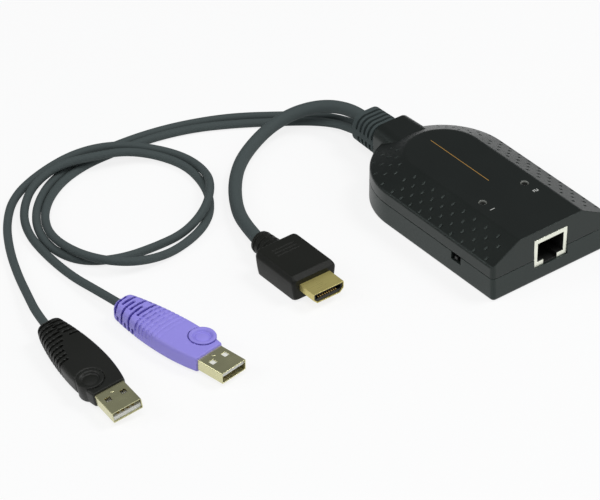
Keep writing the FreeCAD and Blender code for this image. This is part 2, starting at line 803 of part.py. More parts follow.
def make_lower_case():
    """Lower shell: an arched tray with a shadow gap at its rim, bosses and switch notch."""
    body = new_body("lower_case")
    tray = new_sketch(body, "tray_plan", "XY_Plane")
    outline(tray, arch_corners(D.case_half_width, TOE, ARCH_CENTRE))
    grow(body, "Pad", "tray", tray, D.part_line)
    lean_front(body)
    round_edges(body, "foot", D.foot_round, lambda edge: all(
        near(point.z, 0) for point in edge_ends(edge)))
    add_neck(body, D.neck_bottom, D.part_line, upper=False)

    hollow = new_sketch(body, "hollow_plan", "XY_Plane", D.case_wall)
    outline(hollow, arch_corners(D.case_half_width - D.case_wall, FRONT + D.case_wall, ARCH_CENTRE))
    grow(body, "Pocket", "hollow", hollow, D.part_line - D.case_wall, backwards=True)
    cut_boot_channel(body)
    cut_socket_window(body)

    seam = new_sketch(body, "seam_plan", "XY_Plane", D.part_line - D.seam_height)
    front = FRONT - D.front_lean * (1 - D.part_line / D.case_height)
    outline(seam, arch_corners(D.case_half_width + BEYOND, TOE - BEYOND, ARCH_CENTRE))
    outline(seam, arch_corners(D.case_half_width - D.seam_depth, front + D.seam_depth, ARCH_CENTRE))
    grow(body, "Pocket", "seam", seam, D.seam_height, backwards=True)

    notch = new_sketch(body, "notch_outline", "YZ_Plane", -D.case_half_width)
    outline(notch, box_corners(SWITCH_Y - D.notch_half_width, D.notch_bottom,
                               SWITCH_Y + D.notch_half_width, D.part_line))
    grow(body, "Pocket", "switch_notch", notch, D.case_wall, backwards=True)

    bosses = screw_circles(body, "boss_plan", D.boss_radius, D.case_wall)
    grow(body, "Pad", "bosses", bosses, BOARD_BOTTOM - D.case_wall)
    shafts = screw_circles(body, "shaft_plan", D.screw_radius + D.fit, as_size(0))
    grow(body, "Pocket", "screw_holes", shafts, BOARD_BOTTOM, backwards=True)
    heads = screw_circles(body, "head_plan", D.screw_head_radius + D.fit, as_size(0))
    grow(body, "Pocket", "head_recesses", heads, D.screw_recess + D.screw_head_height,
         backwards=True)
    return body


def make_case_screws():
    """Four pan screws, up through the lower shell and the board into the upper bosses."""
    body = new_body("case_screws")
    heads = screw_circles(body, "head_plan", D.screw_head_radius, D.screw_recess)
    grow(body, "Pad", "heads", heads, D.screw_head_height)
    shafts = screw_circles(body, "shaft_plan", D.screw_radius, D.screw_recess)
    grow(body, "Pad", "shafts", shafts, D.screw_head_height + D.screw_length)
    cross = new_sketch(body, "cross_plan", "XY_Plane", D.screw_recess)
    arm = D.cross_reach
    bar = D.cross_width / 2
    for side in (-1, 1):
        for along in (D.screw_front, D.screw_rear):
            x = side * D.screw_spread
            y = FRONT + along
            outline(cross, [
                (x - bar, y - arm), (x + bar, y - arm), (x + bar, y - bar), (x + arm, y - bar),
                (x + arm, y + bar), (x + bar, y + bar), (x + bar, y + arm), (x - bar, y + arm),
                (x - bar, y + bar), (x - arm, y + bar), (x - arm, y - bar), (x - bar, y - bar),
            ])
    grow(body, "Pocket", "cross_slots", cross, D.cross_depth, backwards=True)
    return body


# ---------------------------------------------------------------------------------------------
# Boot
# ---------------------------------------------------------------------------------------------

def boot_corners(extra, taper=0):
    """The boot's rounded section, grown by a clearance or shrunk by its taper."""
    half_width = D.boot_half_width + extra - taper
    half_height = D.boot_half_height + extra - taper
    return rounded_corners(-half_width, D.boot_axis - half_height, half_width,
                           D.boot_axis + half_height, D.boot_round)


def make_cable_boot():
    """Strain relief with a flange inside the neck and staggered slots above and below."""
    body = new_body("cable_boot")
    root = new_sketch(body, "root_outline", "XZ_Plane", -BACK)
    end = new_sketch(body, "end_outline", "XZ_Plane", -BOOT_END)
    outline(root, boot_corners(0))
    outline(end, boot_corners(0, D.boot_taper))
    loft(body, "sleeve", [root, end])
    tail = new_sketch(body, "tail_outline", "XZ_Plane", -BACK)
    outline(tail, boot_corners(0))
    grow(body, "Pad", "tail", tail, BACK - BOOT_TAIL_END)
    flange = new_sketch(body, "flange_outline", "XZ_Plane", -FLANGE_BACK)
    outline(flange, boot_corners(D.boot_flange))
    grow(body, "Pad", "flange", flange, D.boot_flange_thickness)

    core_half = D.boot_half_width - D.boot_slot_depth
    core_reach = D.boot_half_height - D.boot_slot_depth
    core_round = D.boot_round - D.boot_slot_depth
    outside = D.boot_half_width + D.boot_half_height
    for upper in (True, False):
        sign = 1 if upper else -1
        word = "upper" if upper else "lower"
        start = BACK + D.boot_slot_pitch / (1 if upper else 2)
        low = D.boot_axis + sign * D.boot_spine
        high = D.boot_axis + sign * outside
        core = D.boot_axis + sign * core_reach
        bend = Arc(core_round, left=not upper)
        for number in range(int(D.boot_slots.value)):
            y = start + D.boot_slot_pitch * number
            drawing = new_sketch(body, f"{word}_slot_{number}_outline", "XZ_Plane", -y)
            outline(drawing, [
                (core_half, low), (outside, low), (outside, high), (-outside, high),
                (-outside, low), (-core_half, low),
                (-core_half, core - sign * core_round, bend),
                (-(core_half - core_round), core),
                (core_half - core_round, core, bend),
                (core_half, core - sign * core_round),
            ])
            grow(body, "Pocket", f"{word}_slot_{number}", drawing, D.boot_slot_width)
    return body


# ---------------------------------------------------------------------------------------------
# Circuit board and what it carries
# ---------------------------------------------------------------------------------------------

def make_circuit_board():
    """The board, arched like the case, with a hole for each screw."""
    body = new_body("circuit_board")
    plan = new_sketch(body, "plan", "XY_Plane", BOARD_BOTTOM)
    outline(plan, arch_corners(BOARD_SIDE, FRONT + D.case_wall + D.board_gap,
                               ARCH_CENTRE - D.board_set_back))
    grow(body, "Pad", "plate", plan, D.board_thickness)
    holes = screw_circles(body, "hole_plan", D.screw_radius + D.fit, BOARD_BOTTOM)
    grow(body, "Pocket", "holes", holes, D.board_thickness, backwards=True)
    return body


def on_board(label, x, y, size_x, size_y, height):
    """A plain rectangular component that sits on the board, given by its centre in plan."""
    x, y = as_size(x), as_size(y)
    body = new_body(label)
    block(body, "case", box_corners(x - size_x / 2, y - size_y / 2, x + size_x / 2, y + size_y / 2),
          D.board_top, height)
    return body


def make_chip(label, x, y, size):
    """A flat package with its corner dot, on the board."""
    body = on_board(label, x, y, size, size, D.chip_height)
    mark = new_sketch(body, "dot_plan", "XY_Plane", D.board_top + D.chip_height)
    inset = size / 2 - D.chip_dot_inset
    circle(mark, x - inset, y - inset, D.chip_dot)
    grow(body, "Pocket", "corner_dot", mark, D.chip_dot_depth)
    return body


def make_lead_frame_chip(label, x, y, size_x, size_y, height):
    """A package with a row of legs along both of its long sides."""
    body = new_body(label)
    block(body, "case", box_corners(x - size_x / 2, y - size_y / 2, x + size_x / 2, y + size_y / 2),
          D.board_top + D.chip_stand_off, height)
    pitch = size_y / (D.chip_legs + 1)
    plan = new_sketch(body, "leg_plan", "XY_Plane", D.board_top)
    for number in range(int(D.chip_legs.value)):
        low = y - size_y / 2 + pitch * (number + 1 - LEG_SHARE / 2)
        for side in (-1, 1):
            inner = x + side * (size_x / 2 - D.leg_reach)
            outer = x + side * (size_x / 2 + D.leg_reach)
            left, right = (inner, outer) if side > 0 else (outer, inner)
            outline(plan, box_corners(left, low, right, low + pitch * LEG_SHARE))
    grow(body, "Pad", "legs", plan, D.leg_height)
    return body


def make_capacitors():
    """Upright can capacitors beside the regulator's inductor."""
    body = new_body("capacitors")
    cans = new_sketch(body, "can_plan", "XY_Plane", D.board_top)
    for along in (0, 1):
        circle(cans, INDUCTOR_X, INDUCTOR_Y + D.can_offset + D.can_pitch * along, D.can_radius)
    grow(body, "Pad", "cans", cans, D.can_height)
    return body


def make_power_inductor():
    """Squat inductor: a square base with a round winding pot."""
    body = on_board("power_inductor", INDUCTOR_X, INDUCTOR_Y, D.inductor_size, D.inductor_size,
                    D.inductor_base)
    pot = new_sketch(body, "pot_plan", "XY_Plane", D.board_top)
    circle(pot, INDUCTOR_X, INDUCTOR_Y, D.inductor_pot_radius)
    grow(body, "Pad", "pot", pot, D.inductor_height)
    return body


def make_crystal():
    """Can crystal: a long can with round ends."""
    body = new_body("crystal")
    half = D.crystal_length / 2
    block(body, "can", rounded_corners(CRYSTAL_X - half, CRYSTAL_Y - D.crystal_half_width,
                                       CRYSTAL_X + half, CRYSTAL_Y + D.crystal_half_width,
                                       D.crystal_round), D.board_top, D.crystal_height)
    return body


# ---------------------------------------------------------------------------------------------
# Network socket
# ---------------------------------------------------------------------------------------------

def port_outline(drawing, skin):
    """The keyed opening of the socket: the plug's space with the latch slot below it."""
    left, right = D.socket_centre - D.port_half_width, D.socket_centre + D.port_half_width
    latch_left = D.socket_centre - D.latch_half_width
    latch_right = D.socket_centre + D.latch_half_width
    low = D.board_top + D.port_bottom
    floor = D.board_top + skin
    outline(drawing, [
        (latch_left, floor), (latch_right, floor), (latch_right, low), (right, low),
        (right, low + PORT_HEIGHT), (left, low + PORT_HEIGHT), (left, low), (latch_left, low),
    ])


def make_jack_shield():
    """Folded can with a framed face. The face is open at the port and below its latch."""
    body = new_body("jack_shield")
    left, right = D.socket_centre - D.socket_half_width, D.socket_centre + D.socket_half_width
    rear = SOCKET_FACE + D.socket_depth
    block(body, "can", box_corners(left, SOCKET_FACE, right, rear), D.board_top, SOCKET_HEIGHT)
    block(body, "room", box_corners(left + D.socket_skin, SOCKET_FACE + D.socket_skin,
                                    right - D.socket_skin, rear - D.socket_skin),
          D.board_top, SOCKET_HEIGHT - D.socket_skin, cut=True)
    face = new_sketch(body, "port_outline", "XZ_Plane", -SOCKET_FACE)
    port_outline(face, as_size(0))
    grow(body, "Pocket", "port", face, D.socket_skin)
    return body


def make_network_jack():
    """Moulded insulator inside the shield, with the port's keyway and the wires' comb."""
    body = new_body("network_jack")
    face = SOCKET_FACE + D.socket_skin
    left = D.socket_centre - D.socket_half_width + D.socket_skin + D.running_gap
    right = D.socket_centre + D.socket_half_width - D.socket_skin - D.running_gap
    rear = SOCKET_FACE + D.socket_depth - D.socket_skin - D.running_gap
    block(body, "moulding", box_corners(left, face, right, rear),
          D.board_top, SOCKET_HEIGHT - D.socket_skin - D.running_gap)
    port = new_sketch(body, "port_outline", "XZ_Plane", -face)
    port_outline(port, D.socket_skin)
    grow(body, "Pocket", "port", port, D.port_depth)
    keyway = new_sketch(body, "keyway_outline", "XZ_Plane", -face)
    top = D.board_top + D.port_bottom + PORT_HEIGHT
    comb = D.wire_pitch * (D.wire_count / 2) + D.wire_width
    outline(keyway, box_corners(D.socket_centre - comb, top - D.running_gap,
                                D.socket_centre + comb, top + D.keyway_depth))
    grow(body, "Pocket", "comb", keyway, D.port_depth)
    return body


def make_jack_contacts():
    """Eight sprung wires, from the comb above the port down towards its back wall."""
    body = new_body("jack_contacts")
    drawing = new_sketch(body, "wire_side", "YZ_Plane", D.socket_centre - D.wire_width / 2)
    top = D.board_top + D.port_bottom + PORT_HEIGHT + D.keyway_depth
    front = SOCKET_FACE + D.wire_front
    rear = SOCKET_FACE + D.socket_skin + D.port_depth
    drop = D.wire_drop
    outline(drawing, [
        (front, top - D.wire_width), (rear - D.running_gap - D.wire_width, top - drop),
        (rear - D.running_gap, top - drop), (rear - D.running_gap, top - drop + D.wire_width),
        (front + D.wire_width, top - D.running_gap), (front, top - D.running_gap),
    ])
    wire = grow(body, "Pad", "wire", drawing, D.wire_width)
    half_row = D.wire_pitch * (D.wire_count - 1) / 2
    bind(drawing, "AttachmentOffset.Base.z", D.socket_centre - half_row - D.wire_width / 2)
    row = body.newObject("PartDesign::LinearPattern", "wire_row")
    row.Originals = [wire]
    across = next(axis for axis in body.Origin.OriginFeatures if axis.Role == "X_Axis")
    row.Direction = (across, [""])
    bind(row, "Length", half_row * 2)
    bind(row, "Occurrences", D.wire_count)
    body.Tip = row
    return body


# ---------------------------------------------------------------------------------------------
# Lamps and recovery switch
# ---------------------------------------------------------------------------------------------

def make_led(label, side):
    """The lamp on the board under one light pipe."""
    return on_board(label, side * D.lamp_spread, LAMP_Y, D.led_width, D.led_length, D.led_height)


def make_light_pipe(label, side):
    """Clear rod from just over the lamp to just under the panel's face, with a domed end."""
    body = new_body(label)
    foot = D.board_top + D.led_height + D.fit
    rod = new_sketch(body, "rod_plan", "XY_Plane", foot)
    circle(rod, side * D.lamp_spread, LAMP_Y, D.lamp_radius - D.running_gap)
    grow(body, "Pad", "rod", rod, D.case_height - D.lamp_recess - foot)
    round_edges(body, "dome", D.lamp_dome, lambda edge: all(
        near(point.z, (D.case_height - D.lamp_recess).value) for point in edge_ends(edge)))
    return body


def make_switch_body():
    """Slide switch on the board's edge, its slot facing the notch in the case."""
    body = new_body("recovery_switch_body")
    block(body, "case", box_corners(SWITCH_FACE, SWITCH_Y - D.switch_length / 2,
                                    SWITCH_FACE + D.switch_width, SWITCH_Y + D.switch_length / 2),
          D.board_top, D.switch_height)
    slot = new_sketch(body, "slot_outline", "YZ_Plane", SWITCH_FACE)
    half = D.switch_slot / 2
    low = KNOB_BOTTOM - D.fit
    outline(slot, box_corners(SWITCH_Y - half, low, SWITCH_Y + half,
                              low + D.knob_height + D.fit * 2))
    grow(body, "Pocket", "slot", slot, D.switch_slot_depth, backwards=True)
    return body


def make_switch_knob():
    """The knob, at the back end of its travel, standing back from the case's side."""
    body = new_body("recovery_switch_knob")
    width = D.switch_slot - D.switch_travel - D.fit * 2
    rear = SWITCH_Y + D.switch_slot / 2 - D.fit
    block(body, "knob", box_corners(SWITCH_FACE - D.knob_reach, rear - width,
                                    SWITCH_FACE + D.switch_slot_depth - D.fit, rear),
          KNOB_BOTTOM, D.knob_height)
    return body


# ---------------------------------------------------------------------------------------------
# Cables and leads
# ---------------------------------------------------------------------------------------------

def rounded_path(points):
    """Straight runs joined by tangent arcs, each as large as its two runs allow."""
    points = [Vector(*point) for point in points]
    edges = []
    radii = []
    reached = points[0]
    for before, corner, after in zip(points, points[1:], points[2:]):
        back = before - corner
        ahead = after - corner
        turned = math.pi - back.getAngle(ahead)
        tangent = TANGENT_SHARE * min(back.Length, ahead.Length)
        radii.append(tangent / math.tan(turned / 2))
        start = corner + back.normalize() * tangent
        end = corner + ahead.normalize() * tangent
        inward = (back + ahead).normalize()
        centre = corner + inward * (radii[-1] / math.cos(turned / 2))
        middle = centre - inward * radii[-1]
        edges.append(Part.LineSegment(reached, start).toShape())
        edges.append(Part.Arc(start, middle, end).toShape())
        reached = end
    edges.append(Part.LineSegment(reached, points[-1]).toShape())
    return Part.Wire(edges), radii


def make_cable(label, points, radius):
    """A plain round tube along a route."""
    path, radii = rounded_path(points)
    start = Vector(*points[0])
    towards = Vector(*points[1]) - start
    section = Part.Wire([Part.Circle(start, towards, radius.value).toShape()])
    node = doc.addObject("Part::Feature", label)
    node.Label = label
    node.Shape = path.makePipeShell([section], True, False)
    expected = math.pi * radius.value ** 2 * path.Length
    print(f"{label}: length {path.Length:.1f}, volume {node.Shape.Volume / expected:.4f} of "
          f"section x length, radii {', '.join(f'{bend:.1f}' for bend in radii)}")
    return node


def make_inner_lead(label, cable, end_x, radius):
    """A cable's core in the case, from the boot's tail into its header, straight at both ends."""
    start_x, _, start_z = cable[0]
    straight = D.lead_straight
    inside = HEADER_BACK - D.header_depth * D.header_mouth
    level = D.board_top + D.header_height / 2
    route = [
        (start_x, BOOT_TAIL_END.value, start_z),
        (start_x, (BOOT_TAIL_END - straight).value, start_z),
        (end_x.value, (inside + straight).value, level.value),
        (end_x.value, inside.value, level.value),
    ]
    return make_cable(label, route, radius)


def make_header(label, centres, width, y, depth, height):
    """Board connectors that the cables' cores plug into, their open side to the back."""
    body = new_body(label)
    plan = new_sketch(body, "header_plan", "XY_Plane", D.board_top)
    for x in centres:
        outline(plan, box_corners(x - width / 2, y - depth, x + width / 2, y))
    grow(body, "Pad", "housings", plan, height)
    mouth = new_sketch(body, "mouth_outline", "XZ_Plane", -y)
    for x in centres:
        outline(mouth, box_corners(x - width / 2 + D.header_wall, D.board_top + D.header_wall,
                                   x + width / 2 - D.header_wall,
                                   D.board_top + height - D.header_wall))
    grow(body, "Pocket", "mouths", mouth, depth * D.header_mouth, backwards=True)
    return body


# ---------------------------------------------------------------------------------------------
# Plugs. Each is drawn lying along its own X axis, mouth towards +X, shell's back at the origin.
# ---------------------------------------------------------------------------------------------

def plug_place(x, y, z, heading, roll):
    """Where a plug lies: turned to a heading in plan, after a roll about its own length."""
    turned = FreeCAD.Rotation(Vector(0, 0, 1), heading)
    rolled = FreeCAD.Rotation(Vector(1, 0, 0), roll)
    return FreeCAD.Placement(Vector(x, y, z), turned.multiply(rolled))


def hdmi_shell_corners(inset):
    """The shell's section: wide above, stepped in at its lower corners."""
    half = D.hdmi_shell_half_width - inset
    high = D.hdmi_shell_half_height - inset
    step = D.hdmi_shell_step
    return [
        (half - step, -high), (half, -high + step), (half, high), (-half, high),
        (-half, -high + step), (-(half - step), -high),
    ]


def make_hdmi_grip():
    """Moulded grip: chamfered block, round at its corners, with bevelled front and ribbed gland."""
    body = new_body("hdmi_grip")
    side = D.hdmi_half_width
    top = D.hdmi_top_half_width
    high = D.hdmi_half_height
    waist = high - D.hdmi_chamfer_height
    section = new_sketch(body, "section", "YZ_Plane", -D.hdmi_body_length)
    outline(section, [
        (-top, -high), (top, -high), (side, -waist), (side, waist), (top, high), (-top, high),
        (-side, waist), (-side, -waist),
    ])
    grow(body, "Pad", "block", section, D.hdmi_body_length)

    shoulders = new_sketch(body, "shoulder_plan", "XY_Plane")
    rear = -D.hdmi_body_length
    gland = D.hdmi_gland_radius
    sweep = D.hdmi_shoulder
    fall = side - gland
    radius = (sweep * sweep + fall * fall) / (fall * 2)
    for sign in (-1, 1):
        outline(shoulders, [
            (rear - BEYOND, sign * gland), (rear, sign * gland, Arc(radius, left=sign < 0)),
            (rear + sweep, sign * side), (rear + sweep, sign * (side + BEYOND)),
            (rear - BEYOND, sign * (side + BEYOND)),
        ])
        outline(shoulders, [
            (-D.hdmi_front_round, sign * side, Arc(D.hdmi_front_round, left=sign < 0)),
            (0, sign * (side - D.hdmi_front_round)), (BEYOND, sign * (side - D.hdmi_front_round)),
            (BEYOND, sign * (side + BEYOND)), (-D.hdmi_front_round, sign * (side + BEYOND)),
        ])
    grow(body, "Pocket", "shoulders", shoulders, (high + BEYOND) * 2, both_ways=True)

    bevel = new_sketch(body, "bevel_side", "XZ_Plane")
    edge = high - D.hdmi_bevel_drop
    for sign in (-1, 1):
        outline(bevel, [
            (-D.hdmi_bevel_length, sign * high), (0, sign * edge), (BEYOND, sign * edge),
            (BEYOND, sign * (high + BEYOND)), (-D.hdmi_bevel_length, sign * (high + BEYOND)),
        ])
    grow(body, "Pocket", "front_bevels", bevel, (side + BEYOND) * 2, both_ways=True)

    neck = new_sketch(body, "gland_side", "XZ_Plane")
    tail = rear - D.hdmi_gland_length
    rib = D.hdmi_gland_length / (D.hdmi_gland_ribs * 2 + 1)
    taper = (D.hdmi_gland_radius - D.hdmi_gland_end_radius) / D.hdmi_gland_length
    corners = [(rear + BEYOND, 0), (tail, 0)]
    for number in range(int(D.hdmi_gland_ribs.value)):
        at = tail + rib * (number * 2)
        wide = D.hdmi_gland_end_radius + taper * (at - tail)
        floor = wide - D.hdmi_gland_groove
        corners += [(at, wide), (at + rib, wide), (at + rib, floor), (at + rib * 2, floor)]
    corners += [(rear - rib, gland), (rear + BEYOND, gland)]
    outline(neck, corners)
    turn(body, "Revolution", "gland", neck, 360, axis="H_Axis")

    grooves = new_sketch(body, "groove_plan", "XY_Plane", high - D.hdmi_groove)
    reach = D.hdmi_groove_half_width
    for number in range(int(D.hdmi_grooves.value)):
        at = -(D.hdmi_groove_start + D.hdmi_groove_pitch * number)
        outline(grooves, box_corners(at, -reach, at + D.hdmi_groove, reach))
    grow(body, "Pocket", "thumb_grooves", grooves, D.hdmi_groove, backwards=True)
    return body


def make_hdmi_shell():
    """Open metal shell of the plug."""
    body = new_body("hdmi_shell")
    outer = new_sketch(body, "outer_section", "YZ_Plane")
    outline(outer, hdmi_shell_corners(as_size(0)))
    grow(body, "Pad", "skin", outer, D.hdmi_shell_length)
    inner = new_sketch(body, "inner_section", "YZ_Plane")
    outline(inner, hdmi_shell_corners(D.shell_wall))
    grow(body, "Pocket", "bore", inner, D.hdmi_shell_length, backwards=True)
    return body


def make_hdmi_insulator():
    """Insulator that lines the shell round the slot for the receptacle's tongue."""
    body = new_body("hdmi_insulator")
    outer = new_sketch(body, "outer_section", "YZ_Plane")
    outline(outer, hdmi_shell_corners(D.shell_wall + D.running_gap))
    length = D.hdmi_shell_length - D.hdmi_mouth
    grow(body, "Pad", "lining", outer, length)
    slot = new_sketch(body, "slot_section", "YZ_Plane", D.hdmi_mouth)
    outline(slot, box_corners(-D.hdmi_slot_half_width, D.hdmi_slot_rise - D.hdmi_slot_half_height,
                              D.hdmi_slot_half_width, D.hdmi_slot_rise + D.hdmi_slot_half_height))
    grow(body, "Pocket", "slot", slot, length, backwards=True)
    return body


def make_hdmi_contacts():
    """A row of contacts along the top of the slot, and one fewer along its bottom."""
    body = new_body("hdmi_contacts")
    front = D.hdmi_mouth + D.hdmi_contact_length
    rows = (("upper", 1, D.hdmi_upper_contacts), ("lower", -1, D.hdmi_lower_contacts))
    for word, sign, count in rows:
        wall = D.hdmi_slot_rise + sign * D.hdmi_slot_half_height
        base = wall - D.contact_thickness if sign > 0 else wall
        plan = new_sketch(body, f"{word}_plan", "XY_Plane", base)
        for number in range(int(count.value)):
            middle = (number - (count - 1) / 2) * D.hdmi_contact_pitch
            outline(plan, box_corners(D.hdmi_mouth, middle - D.hdmi_contact_width / 2,
                                      front, middle + D.hdmi_contact_width / 2))
        grow(body, "Pad", f"{word}_row", plan, D.contact_thickness)
    return body


def make_usb_grip(label, place):
    """Moulded grip: waisted plan, tapered side view, round edges, thumb disc and rib slots."""
    body = new_body(label)
    length = D.usb_grip_length
    side_view = new_sketch(body, "side_view", "XZ_Plane")
    outline(side_view, [
        (-length, -D.usb_end_half_height), (0, -D.usb_front_half_height),
        (0, D.usb_front_half_height), (-length, D.usb_end_half_height),
    ])
    grow(body, "Pad", "wedge", side_view, D.usb_grip_half_width * 2, both_ways=True)

    plan = new_sketch(body, "plan", "XY_Plane")
    front_radius, end_radius = grip_radii()
    widest, wide = -D.usb_grip_widest, D.usb_grip_half_width
    edge, end = D.usb_front_half_width, D.usb_end_half_width
    outline(plan, box_corners(-length - BEYOND, -wide - BEYOND, BEYOND, wide + BEYOND))
    outline(plan, [
        (-length, -end, Arc(end_radius)), (widest, -wide, Arc(front_radius)), (0, -edge),
        (0, edge, Arc(front_radius)), (widest, wide, Arc(end_radius)), (-length, end),
    ])
    grow(body, "Pocket", "waist", plan, (D.usb_end_half_height + BEYOND) * 2, both_ways=True)
    round_edges(body, "soft_edges", D.usb_grip_round, is_grip_edge)

    for sign, word in ((1, "top"), (-1, "under")):
        slots = new_sketch(body, f"{word}_slot_plan", "XY_Plane", sign * D.usb_slot_floor)
        for number in range(int(D.usb_slot_count.value)):
            at = -length + D.usb_slot_start + D.usb_slot_pitch * number
            lean = 1 if number % 2 else -1
            open_side = lean * D.usb_grip_half_width
            closed_side = -lean * D.usb_slot_overlap
            low, high = (open_side, closed_side) if lean < 0 else (closed_side, open_side)
            outline(slots, box_corners(at, low, at + D.usb_slot_width, high))
        grow(body, "Pocket", f"{word}_slots", slots, D.usb_end_half_height,
             backwards=sign > 0)

    disc = new_sketch(body, "disc_plan", "XY_Plane")
    circle(disc, -D.usb_disc_along, -D.usb_disc_across, D.usb_disc_radius)
    grow(body, "Pad", "disc", disc, D.usb_disc_half_height * 2, both_ways=True)
    for sign, word in ((1, "top"), (-1, "under")):
        floor = sign * (D.usb_disc_half_height - D.usb_dish_depth)
        dish = new_sketch(body, f"{word}_dish_plan", "XY_Plane", floor)
        circle(dish, -D.usb_disc_along, -D.usb_disc_across, D.usb_dish_radius)
        grow(body, "Pocket", f"{word}_dish", dish, D.usb_dish_depth, backwards=sign > 0)
    body.Placement = place
    return body


def grip_radii():
    """Radii of the arcs in plan, ahead of the USB grip's widest place and behind it."""
    ahead = D.usb_grip_widest
    behind = D.usb_grip_length - ahead
    front_fall = D.usb_grip_half_width - D.usb_front_half_width
    end_fall = D.usb_grip_half_width - D.usb_end_half_width
    front_radius = (ahead * ahead + front_fall * front_fall) / (front_fall * 2)
    end_radius = (behind * behind + end_fall * end_fall) / (end_fall * 2)
    return front_radius, end_radius


def is_grip_edge(edge):
    """The grip's long edges above and below, and the four round its cable end."""
    points = edge_ends(edge)
    middle = points[1]
    at_front = all(near(point.x, 0) for point in points)
    upright = near(points[0].x, points[2].x) and near(points[0].y, points[2].y)
    return not at_front and (not upright or near(middle.x, -D.usb_grip_length.value))


def make_usb_shell(label, place):
    """Folded metal shell with two windows in each broad face."""
    body = new_body(label)
    wide, high = D.usb_shell_half_width, D.usb_shell_half_height
    outer = new_sketch(body, "outer_section", "YZ_Plane")
    outline(outer, rounded_corners(-wide, -high, wide, high, D.usb_shell_round))
    grow(body, "Pad", "skin", outer, D.usb_shell_length)
    inner = new_sketch(body, "inner_section", "YZ_Plane")
    outline(inner, box_corners(-wide + D.shell_wall, -high + D.shell_wall,
                               wide - D.shell_wall, high - D.shell_wall))
    grow(body, "Pocket", "bore", inner, D.usb_shell_length, backwards=True)
    windows = new_sketch(body, "window_plan", "XY_Plane")
    half = D.usb_window / 2
    for side in (-1, 1):
        across = side * D.usb_window_across
        outline(windows, box_corners(D.usb_window_along - half, across - half,
                                     D.usb_window_along + half, across + half))
    grow(body, "Pocket", "windows", windows, (high + BEYOND) * 2, both_ways=True)
    body.Placement = place
    return body


def make_usb_tongue(label, place):
    """Insulating tongue that fills the lower half of the shell."""
    body = new_body(label)
    side = D.usb_shell_half_width - D.shell_wall - D.running_gap
    low = -D.usb_shell_half_height + D.shell_wall + D.running_gap
    block(body, "tongue", box_corners(0, -side, D.usb_shell_length - D.usb_tongue_inset, side),
          low, -low - D.contact_thickness)
    body.Placement = place
    return body


def make_usb_contacts(label, place):
    """Contact strips on the tongue's inner face."""
    body = new_body(label)
    plan = new_sketch(body, "strip_plan", "XY_Plane", -D.contact_thickness)
    front = D.usb_shell_length - D.usb_contact_inset
    for number in range(int(D.usb_contacts.value)):
        middle = (number - (D.usb_contacts - 1) / 2) * D.usb_contact_pitch
        outline(plan, box_corners(front - D.usb_contact_length, middle - D.usb_contact_width / 2,
                                  front, middle + D.usb_contact_width / 2))
    grow(body, "Pad", "strips", plan, D.contact_thickness)
    body.Placement = place
    return body


def make_usb_plug(colour, place):
    """All the pieces of one USB plug."""
    return [
        make_usb_grip(f"{colour}_usb_grip", place),
        make_usb_shell(f"{colour}_usb_shell", place),
        make_usb_tongue(f"{colour}_usb_tongue", place),
        make_usb_contacts(f"{colour}_usb_contacts", place),
    ]


def make_hdmi_plug(place):
    """All the pieces of the HDMI plug."""
    pieces = [make_hdmi_grip(), make_hdmi_shell(), make_hdmi_insulator(), make_hdmi_contacts()]
    for piece in pieces:
        piece.Placement = place
    return pieces


# ---------------------------------------------------------------------------------------------
# The whole dongle
# ---------------------------------------------------------------------------------------------

def finish(nodes):
    """Checks every object, then writes one file for each sub-part."""
    doc.recompute()
    for item in doc.Objects:
        if any(word in ("Invalid", "Error") for word in item.State):
            raise RuntimeError(f"{item.Label} is {item.State}: {item.getStatusString()}")
    os.makedirs("parts", exist_ok=True)
    for node in nodes:
        shape = node.Shape
        if shape.isNull() or not shape.isValid():
            raise RuntimeError(f"{node.Label} has no valid shape")
        shape.exportStep(f"parts/{node.Label}.step")
        print(f"{node.Label}: {len(shape.Solids)} solid(s), {shape.Volume:.1f} mm3")


finish([
    make_upper_case(),
    make_lower_case(),
    make_case_screws(),
    make_cable_boot(),
    make_circuit_board(),
    make_jack_shield(),
    make_network_jack(),
    make_jack_contacts(),
    make_led("link_led", -1),
    make_led("power_led", 1),
    make_light_pipe("link_light_pipe", -1),
    make_light_pipe("power_light_pipe", 1),
    make_switch_body(),
    make_switch_knob(),
    make_chip("processor", D.processor_x, PROCESSOR_Y, D.processor_size),
    make_chip("video_chip", D.video_chip_x, VIDEO_CHIP_Y, D.video_chip_size),
    make_lead_frame_chip("memory_chip", MEMORY_X, MEMORY_Y, D.memory_width, D.memory_length,
                         D.chip_height),
    make_lead_frame_chip("network_transformer", D.transformer_x, TRANSFORMER_Y,
                         D.transformer_width, D.transformer_length, D.transformer_height),
    make_crystal(),
    make_power_inductor(),
    make_capacitors(),
    make_header("hdmi_header", [D.hdmi_header_x], D.hdmi_header_width, HEADER_BACK,
                D.header_depth, D.header_height),
    make_header("usb_headers", [D.purple_header_x, D.black_header_x], D.usb_header_width,
                HEADER_BACK, D.header_depth, D.header_height),
    make_inner_lead("hdmi_inner_lead", HDMI_ROUTE, D.hdmi_header_x, D.hdmi_core_radius),
    make_inner_lead("black_inner_lead", BLACK_ROUTE, D.black_header_x, D.usb_core_radius),
    make_inner_lead("purple_inner_lead", PURPLE_ROUTE, D.purple_header_x, D.usb_core_radius),
    make_cable("hdmi_cable", HDMI_ROUTE, D.hdmi_cable_radius),
    make_cable("usb_cable_black", BLACK_ROUTE, D.usb_cable_radius),
    make_cable("usb_cable_purple", PURPLE_ROUTE, D.usb_cable_radius),
    *make_hdmi_plug(plug_place(*HDMI_PLACE)),
    *make_usb_plug("black", plug_place(*BLACK_PLACE)),
    *make_usb_plug("purple", plug_place(*PURPLE_PLACE)),
])
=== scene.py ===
"""Looks of a KVM dongle: a dimpled two-shell case with a network socket, and a ribbed boot that
an HDMI cable and two USB cables leave, each with its plug."""

